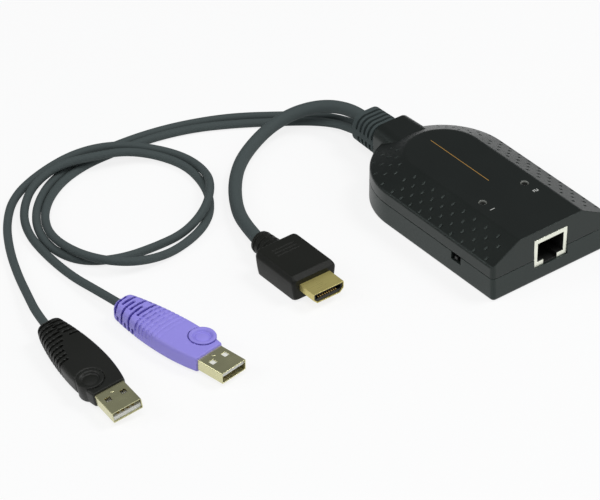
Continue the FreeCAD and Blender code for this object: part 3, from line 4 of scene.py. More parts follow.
import json
import logging
import math
from collections.abc import Sequence
from dataclasses import dataclass
from enum import Enum
from typing import ClassVar

import bmesh
import bpy
from mathutils import Matrix, Vector

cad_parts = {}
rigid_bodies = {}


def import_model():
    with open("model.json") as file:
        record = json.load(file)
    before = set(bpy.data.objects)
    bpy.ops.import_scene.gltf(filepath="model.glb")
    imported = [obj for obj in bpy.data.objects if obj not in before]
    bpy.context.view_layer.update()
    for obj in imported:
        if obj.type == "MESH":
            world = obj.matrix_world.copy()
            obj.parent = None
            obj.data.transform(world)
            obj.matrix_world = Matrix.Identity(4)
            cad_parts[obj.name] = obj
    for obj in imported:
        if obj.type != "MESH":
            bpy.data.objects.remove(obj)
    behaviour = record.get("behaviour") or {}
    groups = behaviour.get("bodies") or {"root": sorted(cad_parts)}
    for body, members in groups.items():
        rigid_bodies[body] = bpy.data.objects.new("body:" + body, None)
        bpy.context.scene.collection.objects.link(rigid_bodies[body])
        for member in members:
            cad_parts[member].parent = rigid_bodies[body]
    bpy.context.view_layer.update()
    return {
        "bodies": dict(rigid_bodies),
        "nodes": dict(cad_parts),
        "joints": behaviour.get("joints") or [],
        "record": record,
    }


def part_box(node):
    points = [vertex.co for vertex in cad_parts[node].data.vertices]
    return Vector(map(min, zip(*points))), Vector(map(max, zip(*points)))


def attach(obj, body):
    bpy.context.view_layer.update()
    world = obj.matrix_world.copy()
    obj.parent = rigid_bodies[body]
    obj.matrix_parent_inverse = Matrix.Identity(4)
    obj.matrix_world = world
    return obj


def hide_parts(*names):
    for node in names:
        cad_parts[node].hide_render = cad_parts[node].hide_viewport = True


LOG = logging.getLogger("kvm_dongle")

MM = 0.001
Colour = tuple[float, float, float]
Point = tuple[float, float, float]

EDGE_SAMPLES = 6
HOLLOW_SAMPLES = 8

# --------------------------------------------------------------------------------------------
# Shader building
# --------------------------------------------------------------------------------------------

class Channel:
    """A socket of a material's nodes that Python's operators work on."""

    def __init__(self, shader: "Shader", socket: bpy.types.NodeSocket) -> None:
        """Wraps one output socket.

        Args:
            shader: The shader that owns the socket.
            socket: The output socket.
        """
        self.shader = shader
        self.socket = socket

    def maths(self, operation: str, *others: "Channel | float") -> "Channel":
        """A Math node on this value and others.

        Args:
            operation: The Math node's operation.
            others: The other operands.

        Returns:
            The node's result.
        """
        inputs = dict(enumerate((self, *others)))
        return self.shader.node("ShaderNodeMath", {"operation": operation}, inputs)

    def __add__(self, other: "Channel | float") -> "Channel":
        """The sum."""
        return self.maths("ADD", other)

    def __radd__(self, other: float) -> "Channel":
        """The sum, with the number first."""
        return self.maths("ADD", other)

    def __mul__(self, other: "Channel | float") -> "Channel":
        """The product."""
        return self.maths("MULTIPLY", other)

    def __rmul__(self, other: float) -> "Channel":
        """The product, with the number first."""
        return self.maths("MULTIPLY", other)

    def __sub__(self, other: "Channel | float") -> "Channel":
        """The difference."""
        return self.maths("SUBTRACT", other)

    def __rsub__(self, other: float) -> "Channel":
        """The difference, from a number."""
        flipped = self.maths("MULTIPLY", -1.0)
        return flipped.maths("ADD", other)

    def __abs__(self) -> "Channel":
        """The size without its sign."""
        return self.maths("ABSOLUTE")

    def larger(self, other: "Channel | float") -> "Channel":
        """The larger of this and another value."""
        return self.maths("MAXIMUM", other)

    def clamp(self, low: float, high: float) -> "Channel":
        """Maps low..high to 0..1 smoothly and stops there.

        Args:
            low: The value that gives 0.
            high: The value that gives 1.

        Returns:
            The mapped value.
        """
        inputs = {"Value": self, "From Min": low, "From Max": high}
        return self.shader.node("ShaderNodeMapRange", {"interpolation_type": "SMOOTHSTEP"}, inputs)


class Shader:
    """The nodes of one material, round one Principled surface."""

    def __init__(self, name: str) -> None:
        """Starts a material.

        Args:
            name: The material's name.
        """
        self.material = bpy.data.materials.new(name)
        self.material.use_nodes = True
        self.tree = self.material.node_tree
        self.tree.nodes.clear()
        self.surface = self.tree.nodes.new("ShaderNodeBsdfPrincipled")
        self.output = self.tree.nodes.new("ShaderNodeOutputMaterial")
        self.tree.links.new(self.surface.outputs[0], self.output.inputs[0])

    def node(self, kind: str, settings: dict[str, object] | None = None,
             inputs: dict[str | int, object] | None = None, output: int | str = 0) -> Channel:
        """Adds any node.

        Args:
            kind: The node's type.
            settings: Properties that are set first.
            inputs: Values or channels for its input sockets.
            output: The output that is returned.

        Returns:
            The chosen output.
        """
        made = self.tree.nodes.new(kind)
        for key, value in (settings or {}).items():
            setattr(made, key, value)
        for key, value in (inputs or {}).items():
            self._feed(made.inputs[key], value)
        return Channel(self, made.outputs[output])

    def _feed(self, socket: bpy.types.NodeSocket, value: object) -> None:
        """Links a channel to a socket, or sets a constant on it.

        Args:
            socket: The input socket.
            value: A channel, number, colour or vector.
        """
        if isinstance(value, Channel):
            self.tree.links.new(value.socket, socket)
        elif socket.type == "RGBA":
            socket.default_value = (*value, 1.0)
        else:
            socket.default_value = value

    def dress(self, **sockets: object) -> None:
        """Feeds the Principled surface's sockets, named with _ for a space."""
        for key, value in sockets.items():
            self._feed(self.surface.inputs[key.replace("_", " ")], value)

    def place(self, scale: Point = (1.0, 1.0, 1.0)) -> Channel:
        """Object coordinates through a Mapping node.

        Args:
            scale: Stretch along each axis.

        Returns:
            The mapped coordinates.
        """
        coordinates = self.node("ShaderNodeTexCoord", output="Object")
        return self.node("ShaderNodeMapping", {}, {"Vector": coordinates, "Scale": scale})

    def noise(self, cells: float, detail: float = 3.0,
              stretch: Point = (1.0, 1.0, 1.0)) -> Channel:
        """Even noise.

        Args:
            cells: Cells to a metre.
            detail: Octaves.
            stretch: Extra scale along each axis.

        Returns:
            Its height, from 0 to 1.
        """
        inputs = {"Vector": self.place(stretch), "Scale": cells, "Detail": detail}
        return self.node("ShaderNodeTexNoise", {}, inputs)

    def soft_edges(self, radius: float) -> Channel:
        """The normal with every edge rounded off.

        Args:
            radius: Radius of the edges in metres.

        Returns:
            The normal.
        """
        return self.node("ShaderNodeBevel", {"samples": EDGE_SAMPLES}, {"Radius": radius})

    def edge_share(self, normal: Channel) -> Channel:
        """Where a softened normal turns away from its face.

        Args:
            normal: The softened normal.

        Returns:
            0 on a face and 1 on a sharp edge.
        """
        face = self.node("ShaderNodeNewGeometry", output="True Normal")
        aligned = self.node("ShaderNodeVectorMath", {"operation": "DOT_PRODUCT"},
                            {0: normal, 1: face}, output="Value")
        return (1.0 - aligned).clamp(0.01, 0.3)

    def hollows(self, reach: float) -> Channel:
        """Where the surface lies in a slot or a dent.

        Args:
            reach: How far away walls still count, in metres.

        Returns:
            0 in the open and 1 deep in a hollow.
        """
        settings = {"samples": HOLLOW_SAMPLES, "only_local": True}
        open_sky = self.node("ShaderNodeAmbientOcclusion", settings, {"Distance": reach},
                             output="AO")
        return (1.0 - open_sky).clamp(0.06, 0.6)

    def blend(self, share: Channel | float, first: object, second: object) -> Channel:
        """Mixes two colours.

        Args:
            share: The second colour's share.
            first: The colour at 0.
            second: The colour at 1.

        Returns:
            The mixed colour.
        """
        return self.node("ShaderNodeMix", {"data_type": "RGBA"},
                         {0: share, 6: first, 7: second}, output=2)

    def bump(self, height: Channel, depth: float, normal: Channel | None = None) -> Channel:
        """A normal from a height.

        Args:
            height: Height from 0 to 1.
            depth: What a height of 1 stands for, in metres.
            normal: The normal that it disturbs, if not the face's own.

        Returns:
            The normal.
        """
        inputs = {"Height": height, "Distance": depth}
        if normal is not None:
            inputs["Normal"] = normal
        return self.node("ShaderNodeBump", {}, inputs)


# --------------------------------------------------------------------------------------------
# Finishes
# --------------------------------------------------------------------------------------------

def tone(code: str) -> Colour:
    """The linear colour of a six-digit screen colour code.

    Args:
        code: Six hexadecimal digits.

    Returns:
        Linear red, green and blue.
    """
    parts = [int(code[at:at + 2], 16) / 255.0 for at in (0, 2, 4)]
    return tuple(part / 12.92 if part <= 0.04045 else ((part + 0.055) / 1.055) ** 2.4
                 for part in parts)


def shaded(colour: Colour, factor: float) -> Colour:
    """A colour made lighter or darker.

    Args:
        colour: Linear colour.
        factor: What it is multiplied by.

    Returns:
        The new colour.
    """
    return tuple(min(1.0, part * factor) for part in colour)


@dataclass(frozen=True)
class Moulded:
    """Moulded plastic or rubber with a fine spark-eroded texture, drifting tone, dust, a painted
    highlight on its edges and painted shade in its hollows.

    Args:
        name: The material's name.
        colour: Its screen colour code.
        rough: Mean roughness.
        grain: Cells of the fine texture to a metre.
        depth: Depth of the fine texture in metres.
        uneven: How far the colour drifts, as a share.
        shine: The Specular IOR Level.
        edge: Radius of its edges in metres.
        edge_highlight: How far a painted highlight lightens its edges.
        crevice_shade: How far painted shade darkens its hollows.
        deep: Screen colour code of the painted shade in its hollows, if it isn't almost black.
        tint: Colour of its sheen.
    """

    name: str
    colour: str
    rough: float = 0.45
    grain: float = 4200.0
    depth: float = 0.00002
    uneven: float = 0.12
    shine: float = 0.5
    edge: float = 0.0003
    edge_highlight: float = 0.25
    crevice_shade: float = 0.6
    deep: str = ""
    tint: Colour = (1.0, 1.0, 1.0)

    DRIFT_CELLS: ClassVar[float] = 55.0
    DUST_CELLS: ClassVar[float] = 900.0
    DUST_SHARE: ClassVar[float] = 0.25
    HOLLOW_REACH: ClassVar[float] = 0.0013

    def make(self) -> bpy.types.Material:
        """Builds the finish's nodes.

        Returns:
            The material.
        """
        shader = Shader(self.name)
        base = tone(self.colour)
        cloud = shader.noise(self.DRIFT_CELLS, 4.0)
        speck = shader.noise(self.grain, 2.0)
        dust = shader.noise(self.DUST_CELLS, 5.0)
        soft = shader.soft_edges(self.edge)
        colour = shader.blend(cloud, shaded(base, 1.0 - self.uneven),
                              shaded(base, 1.0 + self.uneven))
        colour = shader.blend(dust.clamp(0.62, 0.8) * self.DUST_SHARE, colour, shaded(base, 1.6))
        # Painted highlight: the edges are lightened towards 3.5 times the base colour.
        colour = shader.blend(shader.edge_share(soft) * self.edge_highlight, colour, shaded(base, 3.5))
        # Painted shade: slots and dents are darkened towards the deep colour wherever the
        # occlusion mask finds walls nearby.
        deep = tone(self.deep) if self.deep else shaded(base, 0.1)
        hollow = shader.hollows(self.HOLLOW_REACH) * self.crevice_shade
        colour = shader.blend(hollow, colour, deep)
        shader.dress(
            Base_Color=self.printed(shader, colour), Specular_IOR_Level=self.shine,
            Specular_Tint=self.tint,
            Roughness=(cloud - 0.5) * 0.12 + (speck - 0.5) * 0.1 + self.rough,
            Normal=shader.bump(speck, self.depth, soft))
        return shader.material

    def printed(self, shader: Shader, colour: Channel) -> Channel:
        """The surface's colour with its print on it: plain mouldings have none."""
        return colour


@dataclass(frozen=True)
class Bar:
    """One printed bar, seen from above.

    Args:
        x: Its centre across the case, in millimetres.
        y: Its centre along the case.
        half_x: Half its size across.
        half_y: Half its size along.
        ink: Screen colour code of its ink.
    """

    x: float
    y: float
    half_x: float
    half_y: float
    ink: str = "b9bab6"


@dataclass(frozen=True)
class Printed(Moulded):
    """A moulded surface with bars printed on it.

    Args:
        bars: The bars.
    """

    bars: tuple[Bar, ...] = ()

    def printed(self, shader: Shader, colour: Channel) -> Channel:
        """The surface's colour with its print on it.

        Args:
            shader: The material's shader.
            colour: The bare surface's colour.

        Returns:
            The colour with every bar laid over it.
        """
        where = shader.node("ShaderNodeTexCoord", output="Object")
        across = shader.node("ShaderNodeSeparateXYZ", {}, {0: where}, output="X")
        along = shader.node("ShaderNodeSeparateXYZ", {}, {0: where}, output="Y")
        for bar in self.bars:
            beside = abs(across - bar.x * MM) - bar.half_x * MM
            beyond = abs(along - bar.y * MM) - bar.half_y * MM
            share = 1.0 - beside.larger(beyond).clamp(-0.00005, 0.00005)
            colour = shader.blend(share, colour, tone(bar.ink))
        return colour


@dataclass(frozen=True)
class Plated:
    """Plated sheet metal with faint rolling lines and finger smears.

    Args:
        name: The material's name.
        colour: Its screen colour code.
        rough: Mean roughness.
        lines: Depth of the rolling lines in metres.
        edge: Radius of its edges in metres.
        metal: Metallic share, lower where a lacquer scatters light.
    """

    name: str
    colour: str
    rough: float = 0.24
    lines: float = 0.000004
    edge: float = 0.00012
    metal: float = 1.0

    ROLLED: ClassVar[Point] = (60.0, 2400.0, 2400.0)

    def make(self) -> bpy.types.Material:
        """Builds the finish's nodes.

        Returns:
            The material.
        """
        shader = Shader(self.name)
        base = tone(self.colour)
        lines = shader.noise(1.0, 3.0, self.ROLLED)
        smear = shader.noise(160.0, 4.0)
        colour = shader.blend(smear, shaded(base, 0.86), shaded(base, 1.1))
        shader.dress(
            Base_Color=colour, Metallic=self.metal,
            Roughness=(smear - 0.5) * 0.2 + (lines - 0.5) * 0.12 + self.rough,
            Normal=shader.bump(lines, self.lines, shader.soft_edges(self.edge)))
        return shader.material


@dataclass(frozen=True)
class Jacket:
    """Soft extruded cable jacket with fine marks and a waxy bloom.

    Args:
        name: The material's name.
        colour: Its screen colour code.
        rough: Mean roughness.
    """

    name: str
    colour: str
    rough: float = 0.4

    def make(self) -> bpy.types.Material:
        """Builds the finish's nodes.

        Returns:
            The material.
        """
        shader = Shader(self.name)
        base = tone(self.colour)
        bloom = shader.noise(140.0, 4.0)
        grain = shader.noise(2600.0, 3.0)
        colour = shader.blend(bloom, shaded(base, 0.82), shaded(base, 1.22))
        shader.dress(
            Base_Color=colour,
            Roughness=(bloom - 0.5) * 0.24 + (grain - 0.5) * 0.12 + self.rough,
            Normal=shader.bump(grain, 0.00003))
        return shader.material


@dataclass(frozen=True)
class Board:
    """Solder mask over copper tracks on glass cloth.

    Args:
        name: The material's name.
    """

    name: str

    def make(self) -> bpy.types.Material:
        """Builds the finish's nodes.

        Returns:
            The material.
        """
        shader = Shader(self.name)
        cells = shader.node("ShaderNodeTexBrick", {}, {
            "Vector": shader.place((1.0, 1.0, 0.0)), "Scale": 260.0, "Mortar Size": 0.035,
            "Mortar Smooth": 0.1}, output=1)
        weave = shader.noise(3000.0, 1.0)
        copper = cells.clamp(0.2, 0.6)
        colour = shader.blend(copper, tone("1d4a2c"), tone("3c7a48"))
        shader.dress(Base_Color=colour, Roughness=(weave - 0.5) * 0.15 + 0.35,
                     Normal=shader.bump(copper, 0.00003))
        return shader.material


@dataclass(frozen=True)
class Clear:
    """Frosted clear plastic that carries light.

    Args:
        name: The material's name.
        colour: Its screen colour code.
    """

    name: str
    colour: str

    def make(self) -> bpy.types.Material:
        """Builds the finish's nodes.

        Returns:
            The material.
        """
        shader = Shader(self.name)
        cloud = shader.noise(900.0, 3.0)
        base = tone(self.colour)
        shader.dress(
            Base_Color=shader.blend(cloud, shaded(base, 0.9), base), Transmission_Weight=0.55,
            IOR=1.49, Roughness=(cloud - 0.5) * 0.2 + 0.28, Normal=shader.bump(cloud, 0.00001))
        return shader.material


# The case's plastic gives back a faintly green sheen.
SEA_SHEEN = (0.84, 1.0, 0.96)

# The hairline along the panel, then a figure 1 by one lamp and a figure 2 by the other.
PANEL_PRINT = (
    Bar(0.7, 7.35, 0.12, 16.85, "b58a44"),
    Bar(-10.2, -24.3, 1.1, 0.17),
    Bar(11.1, -25.0, 0.17, 0.65),
    Bar(10.2, -25.0, 0.17, 0.65),
    Bar(9.3, -25.0, 0.17, 0.65),
    Bar(10.65, -25.5, 0.6, 0.17),
    Bar(9.75, -24.5, 0.6, 0.17),
)


class Finish(Enum):
    """The finishes that the pieces choose among."""

    CASE = Printed("case_charcoal", "191b19", rough=0.36, shine=0.43, crevice_shade=1.0,
                   depth=0.000025, edge=0.0004, tint=SEA_SHEEN, bars=PANEL_PRINT)
    BASE = Moulded("base_charcoal", "1f2422", rough=0.4, shine=0.42,
                   depth=0.000025, edge=0.0004, tint=SEA_SHEEN)
    BOOT = Moulded("boot_rubber", "323d3b", rough=0.5, grain=3000.0, depth=0.00003)
    JACKET = Jacket("cable_jacket", "435050")
    GRIP_BLACK = Moulded("grip_black", "1a1b18", rough=0.44, shine=0.36, depth=0.00003)
    PLUG_BLACK = Moulded("plug_black", "1f201d", rough=0.44, shine=0.14, depth=0.00003)
    GRIP_PURPLE = Moulded("grip_purple", "968de4", rough=0.5, crevice_shade=0.95, deep="3a2a9c",
                          uneven=0.04, edge_highlight=0.1)
    NICKEL = Plated("shell_nickel", "d6d3a8", metal=0.86)
    GOLD = Plated("shell_gold", "cfc27a", rough=0.3, metal=0.55)
    CONTACT = Plated("contact_gold", "f0d890", rough=0.3, metal=0.6)
    TIN = Plated("tinned_lead", "b9babb", rough=0.3)
    SHIELD = Plated("socket_shield", "f2f4e6", rough=0.42)
    INSULATOR = Moulded("insulator_black", "161716", rough=0.5)
    TONGUE = Moulded("tongue_white", "e4e4de", rough=0.4, uneven=0.03)
    CHIP = Moulded("chip_resin", "1d1e20", rough=0.55, grain=5000.0)
    BOARD = Board("solder_mask")
    LAMP = Clear("lamp_resin", "e8ecd8")
    PIPE = Clear("pipe_acrylic", "1c1d1a")
    # Painted highlight: the lamps' rims are pale grey and stand in for the lit crescent on the
    # wells' walls.
    RIM = Moulded("lamp_rim_highlight", "6f716c", rough=0.2, edge_highlight=0.4)
    SCREW = Plated("screw_zinc", "8f9294", rough=0.3)
    HEADER = Moulded("header_nylon", "e2ddc8", rough=0.5, uneven=0.04)
    KNOB = Moulded("knob_black", "1c1e1d", rough=0.4)

    def material(self) -> bpy.types.Material:
        """The material, made at its first use."""
        return bpy.data.materials.get(self.value.name) or self.value.make()


# --------------------------------------------------------------------------------------------
# Studio
# --------------------------------------------------------------------------------------------

@dataclass
class Studio:
    """Floor, lights and camera.

    Args:
        eye: Where the camera stands, in metres.
        azimuth: Its azimuth in degrees.
        elevation: Its height above the horizon in degrees.
        lens: Focal length in millimetres, for a 36 mm sensor.
        aim: The point that the lamps face, in metres.
        glow: The share of plain white that the camera sees in the floor.
        ambient: Strength of the even light from all round.
    """

    eye: Point = (-0.75022, -0.85347, 0.80866)
    azimuth: float = -38.1
    elevation: float = 36.0
    lens: float = 222.0
    aim: Point = (-0.06, 0.03, 0.0)
    glow: float = 0.82
    ambient: float = 0.16

    def build(self) -> None:
        """Makes all of it."""
        self.add_camera()
        self.add_floor()
        self.add_world()
        self.add_lamp("key", (-0.55, -0.35, 1.35), 1.0, 10.0)
        self.add_lamp("crest", (0.62, -0.3, 1.1), 0.45, 5.8)
        self.add_lamp("fill", (0.9, -0.9, 0.75), 0.8, 3.5)
        self.add_lamp("side", (-1.1, 0.55, 0.8), 0.6, 4.0)
        bpy.context.scene.view_settings.view_transform = "Standard"

    def add_camera(self) -> None:
        """Adds the camera, level across and tilted down."""
        turn, tilt = math.radians(self.azimuth), math.radians(self.elevation)
        back = Vector((math.sin(turn) * math.cos(tilt), -math.cos(turn) * math.cos(tilt),
                       math.sin(tilt)))
        right = Vector((math.cos(turn), math.sin(turn), 0.0))
        up = back.cross(right)
        data = bpy.data.cameras.new("camera")
        data.lens = self.lens
        data.sensor_width = 36.0
        data.clip_end = 20.0
        camera = bpy.data.objects.new("camera", data)
        frame = Matrix((right, up, back)).transposed().to_4x4()
        camera.matrix_world = Matrix.Translation(self.eye) @ frame
        bpy.context.scene.collection.objects.link(camera)
        bpy.context.scene.camera = camera

    def add_floor(self) -> None:
        """Adds a plain pale floor that keeps a soft shadow."""
        bm = bmesh.new()
        bmesh.ops.create_grid(bm, x_segments=1, y_segments=1, size=3.0)
        floor = new_piece("floor", bm)
        shader = Shader("floor_paper")
        tooth = shader.noise(700.0, 2.0)
        shader.dress(Base_Color=shader.blend(tooth, (0.86, 0.86, 0.86), (0.9, 0.9, 0.9)),
                     Roughness=(tooth - 0.5) * 0.1 + 0.8, Specular_IOR_Level=0.2)
        seen, mirrored, through = (
            shader.node("ShaderNodeLightPath", output=f"Is {ray} Ray")
            for ray in ("Camera", "Glossy", "Transmission"))
        share = (seen + mirrored + through).clamp(0.0, 1.0) * self.glow
        white = shader.node("ShaderNodeEmission", {}, {"Color": (1.0, 1.0, 1.0), "Strength": 1.0})
        mixed = shader.node("ShaderNodeMixShader", {}, {
            0: share, 1: Channel(shader, shader.surface.outputs[0]), 2: white})
        shader.tree.links.new(mixed.socket, shader.output.inputs[0])
        floor.data.materials.append(shader.material)

    def add_world(self) -> None:
        """Adds dim even light from all round."""
        world = bpy.data.worlds.new("studio")
        world.use_nodes = True
        background = world.node_tree.nodes["Background"]
        background.inputs["Color"].default_value = (0.9, 0.95, 1.0, 1.0)
        background.inputs["Strength"].default_value = self.ambient
        bpy.context.scene.world = world

    def add_lamp(self, name: str, place: Point, size: float, power: float) -> None:
        """Adds a square soft lamp that faces the dongle.

        Args:
            name: The lamp's name.
            place: Where it hangs.
            size: Its side in metres.
            power: Watts.
        """
        data = bpy.data.lights.new(name, "AREA")
        data.shape = "SQUARE"
        data.size = size
        data.energy = power
        lamp = bpy.data.objects.new(name, data)
        lamp.location = place
        away = Vector(place) - Vector(self.aim)
        lamp.rotation_euler = away.to_track_quat("Z", "Y").to_euler()
        bpy.context.scene.collection.objects.link(lamp)


# --------------------------------------------------------------------------------------------
# Mesh helpers
# --------------------------------------------------------------------------------------------

def new_piece(name: str, bm: bmesh.types.BMesh) -> bpy.types.Object:
    """Turns a bmesh into an object at the origin.

    Args:
        name: The object's name.
        bm: The bmesh, which is freed.

    Returns:
        The object.
    """
    mesh = bpy.data.meshes.new(name)
    bm.to_mesh(mesh)
    bm.free()
    piece = bpy.data.objects.new(name, mesh)
    bpy.context.scene.collection.objects.link(piece)
    return piece


def fine_cube(cuts: tuple[int, int, int]) -> bmesh.types.BMesh:
    """A cube from -1 to 1 whose faces are cut into a grid.

    Args:
        cuts: Cuts along X, Y and Z.

    Returns:
        The bmesh.
    """
    bm = bmesh.new()
    bmesh.ops.create_cube(bm, size=2.0)
    for axis, count in enumerate(cuts):
        edges = [edge for edge in bm.edges
                 if abs(edge.verts[0].co[axis] - edge.verts[1].co[axis]) > 1.0]
        bmesh.ops.subdivide_edges(bm, edges=edges, cuts=count, use_grid_fill=True)
    return bm


def arc_fall(gap: float, radius: float) -> float:
    """How far a rounded edge has fallen away near an end.

    Args:
        gap: Distance from the end.
        radius: The edge's radius.

    Returns:
        The fall, 0 from one radius on.
    """
    short = min(radius, max(0.0, radius - gap))
    return radius - math.sqrt(radius ** 2 - short ** 2)


def rounded(across: float, up: float, width: float, height: float, corner: float) -> Vector:
    """Moves a point of a rectangle onto the same rectangle with round corners.

    Args:
        across: The point's place across.
        up: Its height.
        width: Half the rectangle's width.
        height: Half its height.
        corner: The corners' radius.

    Returns:
        The moved point.
    """
    flat = Vector((across, up))
    core = Vector((max(corner - width, min(width - corner, across)),
                   max(corner - height, min(height - corner, up))))
    reach = (flat - core).length
    return core + (flat - core) * (corner / reach) if reach > corner else flat


def turned(bm: bmesh.types.BMesh, path: Sequence[Vector], centre: Vector, axis: Point,
           steps: int, closed: bool = False) -> None:
    """Spins a path a full turn, with its faces outward.

    Args:
        bm: The bmesh that it is added to, in millimetres.
        path: The path's points.
        centre: A point on the axis.
        axis: The axis's direction.
        steps: Faces round the turn.
        closed: Whether the path ends where it starts.
    """
    before = set(bm.verts)
    verts = [bm.verts.new(point) for point in path]
    ring = verts + verts[:1] if closed else verts
    edges = [bm.edges.new(pair) for pair in zip(ring, ring[1:])]
    bmesh.ops.spin(bm, geom=verts + edges, cent=centre, axis=axis, angle=math.tau,
                   steps=steps, use_merge=True)
    made = [vertex for vertex in bm.verts if vertex not in before]
    bmesh.ops.remove_doubles(bm, verts=made, dist=0.0001)
    faces = {face for vertex in made if vertex.is_valid for face in vertex.link_faces}
    bmesh.ops.recalc_face_normals(bm, faces=list(faces))


def smooth(bm: bmesh.types.BMesh, sharpest: float) -> None:
    """Shades a bmesh smooth, apart from its sharp edges.

    Args:
        bm: The bmesh.
        sharpest: The largest angle between faces that still shades smooth, in degrees.
    """
    for face in bm.faces:
        face.smooth = True
    for edge in bm.edges:
        edge.smooth = edge.calc_face_angle(0.0) < math.radians(sharpest)


def paint(node: bpy.types.Object, finish: Finish) -> None:
    """Gives a whole object one finish.

    Args:
        node: The object.
        finish: The finish.
    """
    node.data.materials.clear()
    node.data.materials.append(finish.material())


# --------------------------------------------------------------------------------------------
# Cables
# --------------------------------------------------------------------------------------------

# Height of a thin cable's middle where it lies on the table, in millimetres.
LOW = 1.7


@dataclass
class Cable:
    """A round cable that lies on the table.

    Args:
        name: The piece's name.
        node: The CAD node that it replaces.
        route: Its route, in millimetres, from the boot to the plug.
        diameter: Its diameter in millimetres.
        length: Its length in millimetres.
        plug: CAD nodes of the plug on its end, not used.
    """

    name: str
    node: str
    route: Sequence[Point]
    diameter: float
    length: float
    plug: Sequence[str]

    def build(self) -> bpy.types.Object:
        """Makes the cable.

        Returns:
            The curve.
        """
        data = bpy.data.curves.new(self.name, "CURVE")
        data.dimensions = "3D"
        data.bevel_depth = self.diameter * MM / 2
        data.bevel_resolution = 6
        data.resolution_u = 10
        data.use_fill_caps = True
        spline = data.splines.new("NURBS")
        spline.points.add(len(self.route) - 1)
        for knot, (x, y, z) in zip(spline.points, self.route):
            knot.co = (x * MM, y * MM, z * MM, 1.0)
        spline.order_u = 3
        spline.use_endpoint_u = True
        spline.use_smooth = True
        cable = bpy.data.objects.new(self.name, data)
        bpy.context.scene.collection.objects.link(cable)
        data.materials.append(Finish.JACKET.material())
        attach(cable, "adapter")
        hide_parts(self.node)
        return cable


HDMI_PLUG = ("hdmi_body", "hdmi_shell", "hdmi_insulator", "hdmi_springs")
BLACK_PLUG = ("black_grip", "black_usb_shell", "black_usb_tongue", "black_usb_contacts")
PURPLE_PLUG = ("purple_grip", "purple_usb_shell", "purple_usb_tongue", "purple_usb_contacts")

CABLES = (
    Cable("hdmi_lead", "hdmi_cable", (
        (-1.3, 61.7, 12.4), (-1.1, 68.2, 12.5), (-5.5, 79, 11.1), (-14.8, 85.9, 8.6),
        (-26.1, 87.5, 5.8), (-37.5, 85, 3.1), (-49.2, 78.2, 2.65), (-59.2, 68.2, 2.65),
        (-67.7, 55.8, 2.65), (-73.4, 43.2, 4.3), (-76.2, 30.7, 5.4),
    ), 5.2, 122.0, HDMI_PLUG),
    Cable("black_lead", "usb_cable_black", (
        (0.1, 61.7, 7.0), (0.9, 73.8, 4.0), (-4, 86.5, LOW), (-17.1, 96.7, LOW),
        (-31.6, 106.6, LOW), (-47.2, 113.2, LOW), (-62.8, 117.2, LOW), (-79.5, 118.8, LOW),
        (-96.9, 118.2, LOW), (-112.8, 114, LOW), (-126.5, 103.5, LOW), (-134.7, 90.8, LOW),
        (-137.3, 76.7, LOW), (-132.8, 64.2, LOW), (-120.3, 57, LOW), (-105.2, 55.2, LOW),
        (-92.3, 55.1, 2.2), (-80.4, 58.2, 5.8), (-69.4, 69.1, 5.8), (-63.1, 80.9, 3.4),
        (-61.9, 95.7, LOW), (-69, 106.7, 2.8), (-82.2, 114, 6.2), (-97.6, 118.1, 6.7),
        (-113.9, 118.8, 3.8), (-129.2, 114.4, LOW), (-141.1, 101.8, LOW), (-149.8, 87, LOW),
        (-156.5, 71.6, 1.9), (-161.9, 57, 3.2), (-166.2, 45.7, 4.6), (-168.25, 35.57, 5.2),
    ), 3.3, 465.0, BLACK_PLUG),
    Cable("purple_lead", "usb_cable_purple", (
        (-3.8, 61.7, 7.0), (-3.4, 68, 5.4), (-4.1, 76, 3.6), (-8.8, 85.2, LOW), (-20.4, 93.5, LOW),
        (-34.7, 102.8, LOW), (-48.6, 109.8, LOW), (-64, 113.9, LOW), (-79.8, 115, LOW),
        (-95.4, 115.1, LOW), (-110.6, 110.9, LOW), (-124, 101.3, LOW), (-131.9, 88.9, 2.3),
        (-134.9, 74.8, 4.6), (-132.5, 60.6, 5.8), (-123.2, 49, 5.6), (-107.1, 48, 2.0),
        (-93.1, 50.5, LOW), (-80.9, 56.2, LOW), (-72, 65.9, LOW), (-66.8, 78.3, LOW),
        (-65.4, 91.3, LOW), (-70.7, 102.7, 2.6), (-80.9, 109.1, 5.2), (-92.8, 111.9, 6.4),
        (-106.7, 115.7, 6.6), (-120.6, 114.3, 3.4), (-132, 104.3, LOW), (-138.7, 90.9, LOW),
        (-140.9, 74.9, LOW), (-141, 59.1, LOW), (-140.2, 44.7, 3.5), (-138.8, 31.7, 4.1),
    ), 3.3, 444.0, PURPLE_PLUG),
)


# --------------------------------------------------------------------------------------------
# Sub-assemblies
# --------------------------------------------------------------------------------------------

Nodes = dict[str, bpy.types.Object]
Ends = tuple[float, ...]


@dataclass(frozen=True)
class Lie:
    """How a plug lies. It is drawn along X, with its grip's front face at the origin.

    Args:
        place: Where the grip's front face lies, in millimetres.
        heading: Its heading in plan, in degrees.
        roll: How far it has rolled about its length, in degrees.
        pitch: How far its tail is raised, in degrees.
    """

    place: Point
    heading: float
    roll: float
    pitch: float = 0.0

    def lay(self, bm: bmesh.types.BMesh) -> None:
        """Moves a bmesh drawn in millimetres to its place.

        Args:
            bm: The bmesh.
        """
        turn = (Matrix.Rotation(math.radians(self.heading), 4, "Z")
                @ Matrix.Rotation(math.radians(self.pitch), 4, "Y")
                @ Matrix.Rotation(math.radians(self.roll), 4, "X"))
        laid = Matrix.Translation(Vector(self.place) * MM) @ turn @ Matrix.Scale(MM, 4)
        bmesh.ops.transform(bm, matrix=laid, verts=bm.verts)


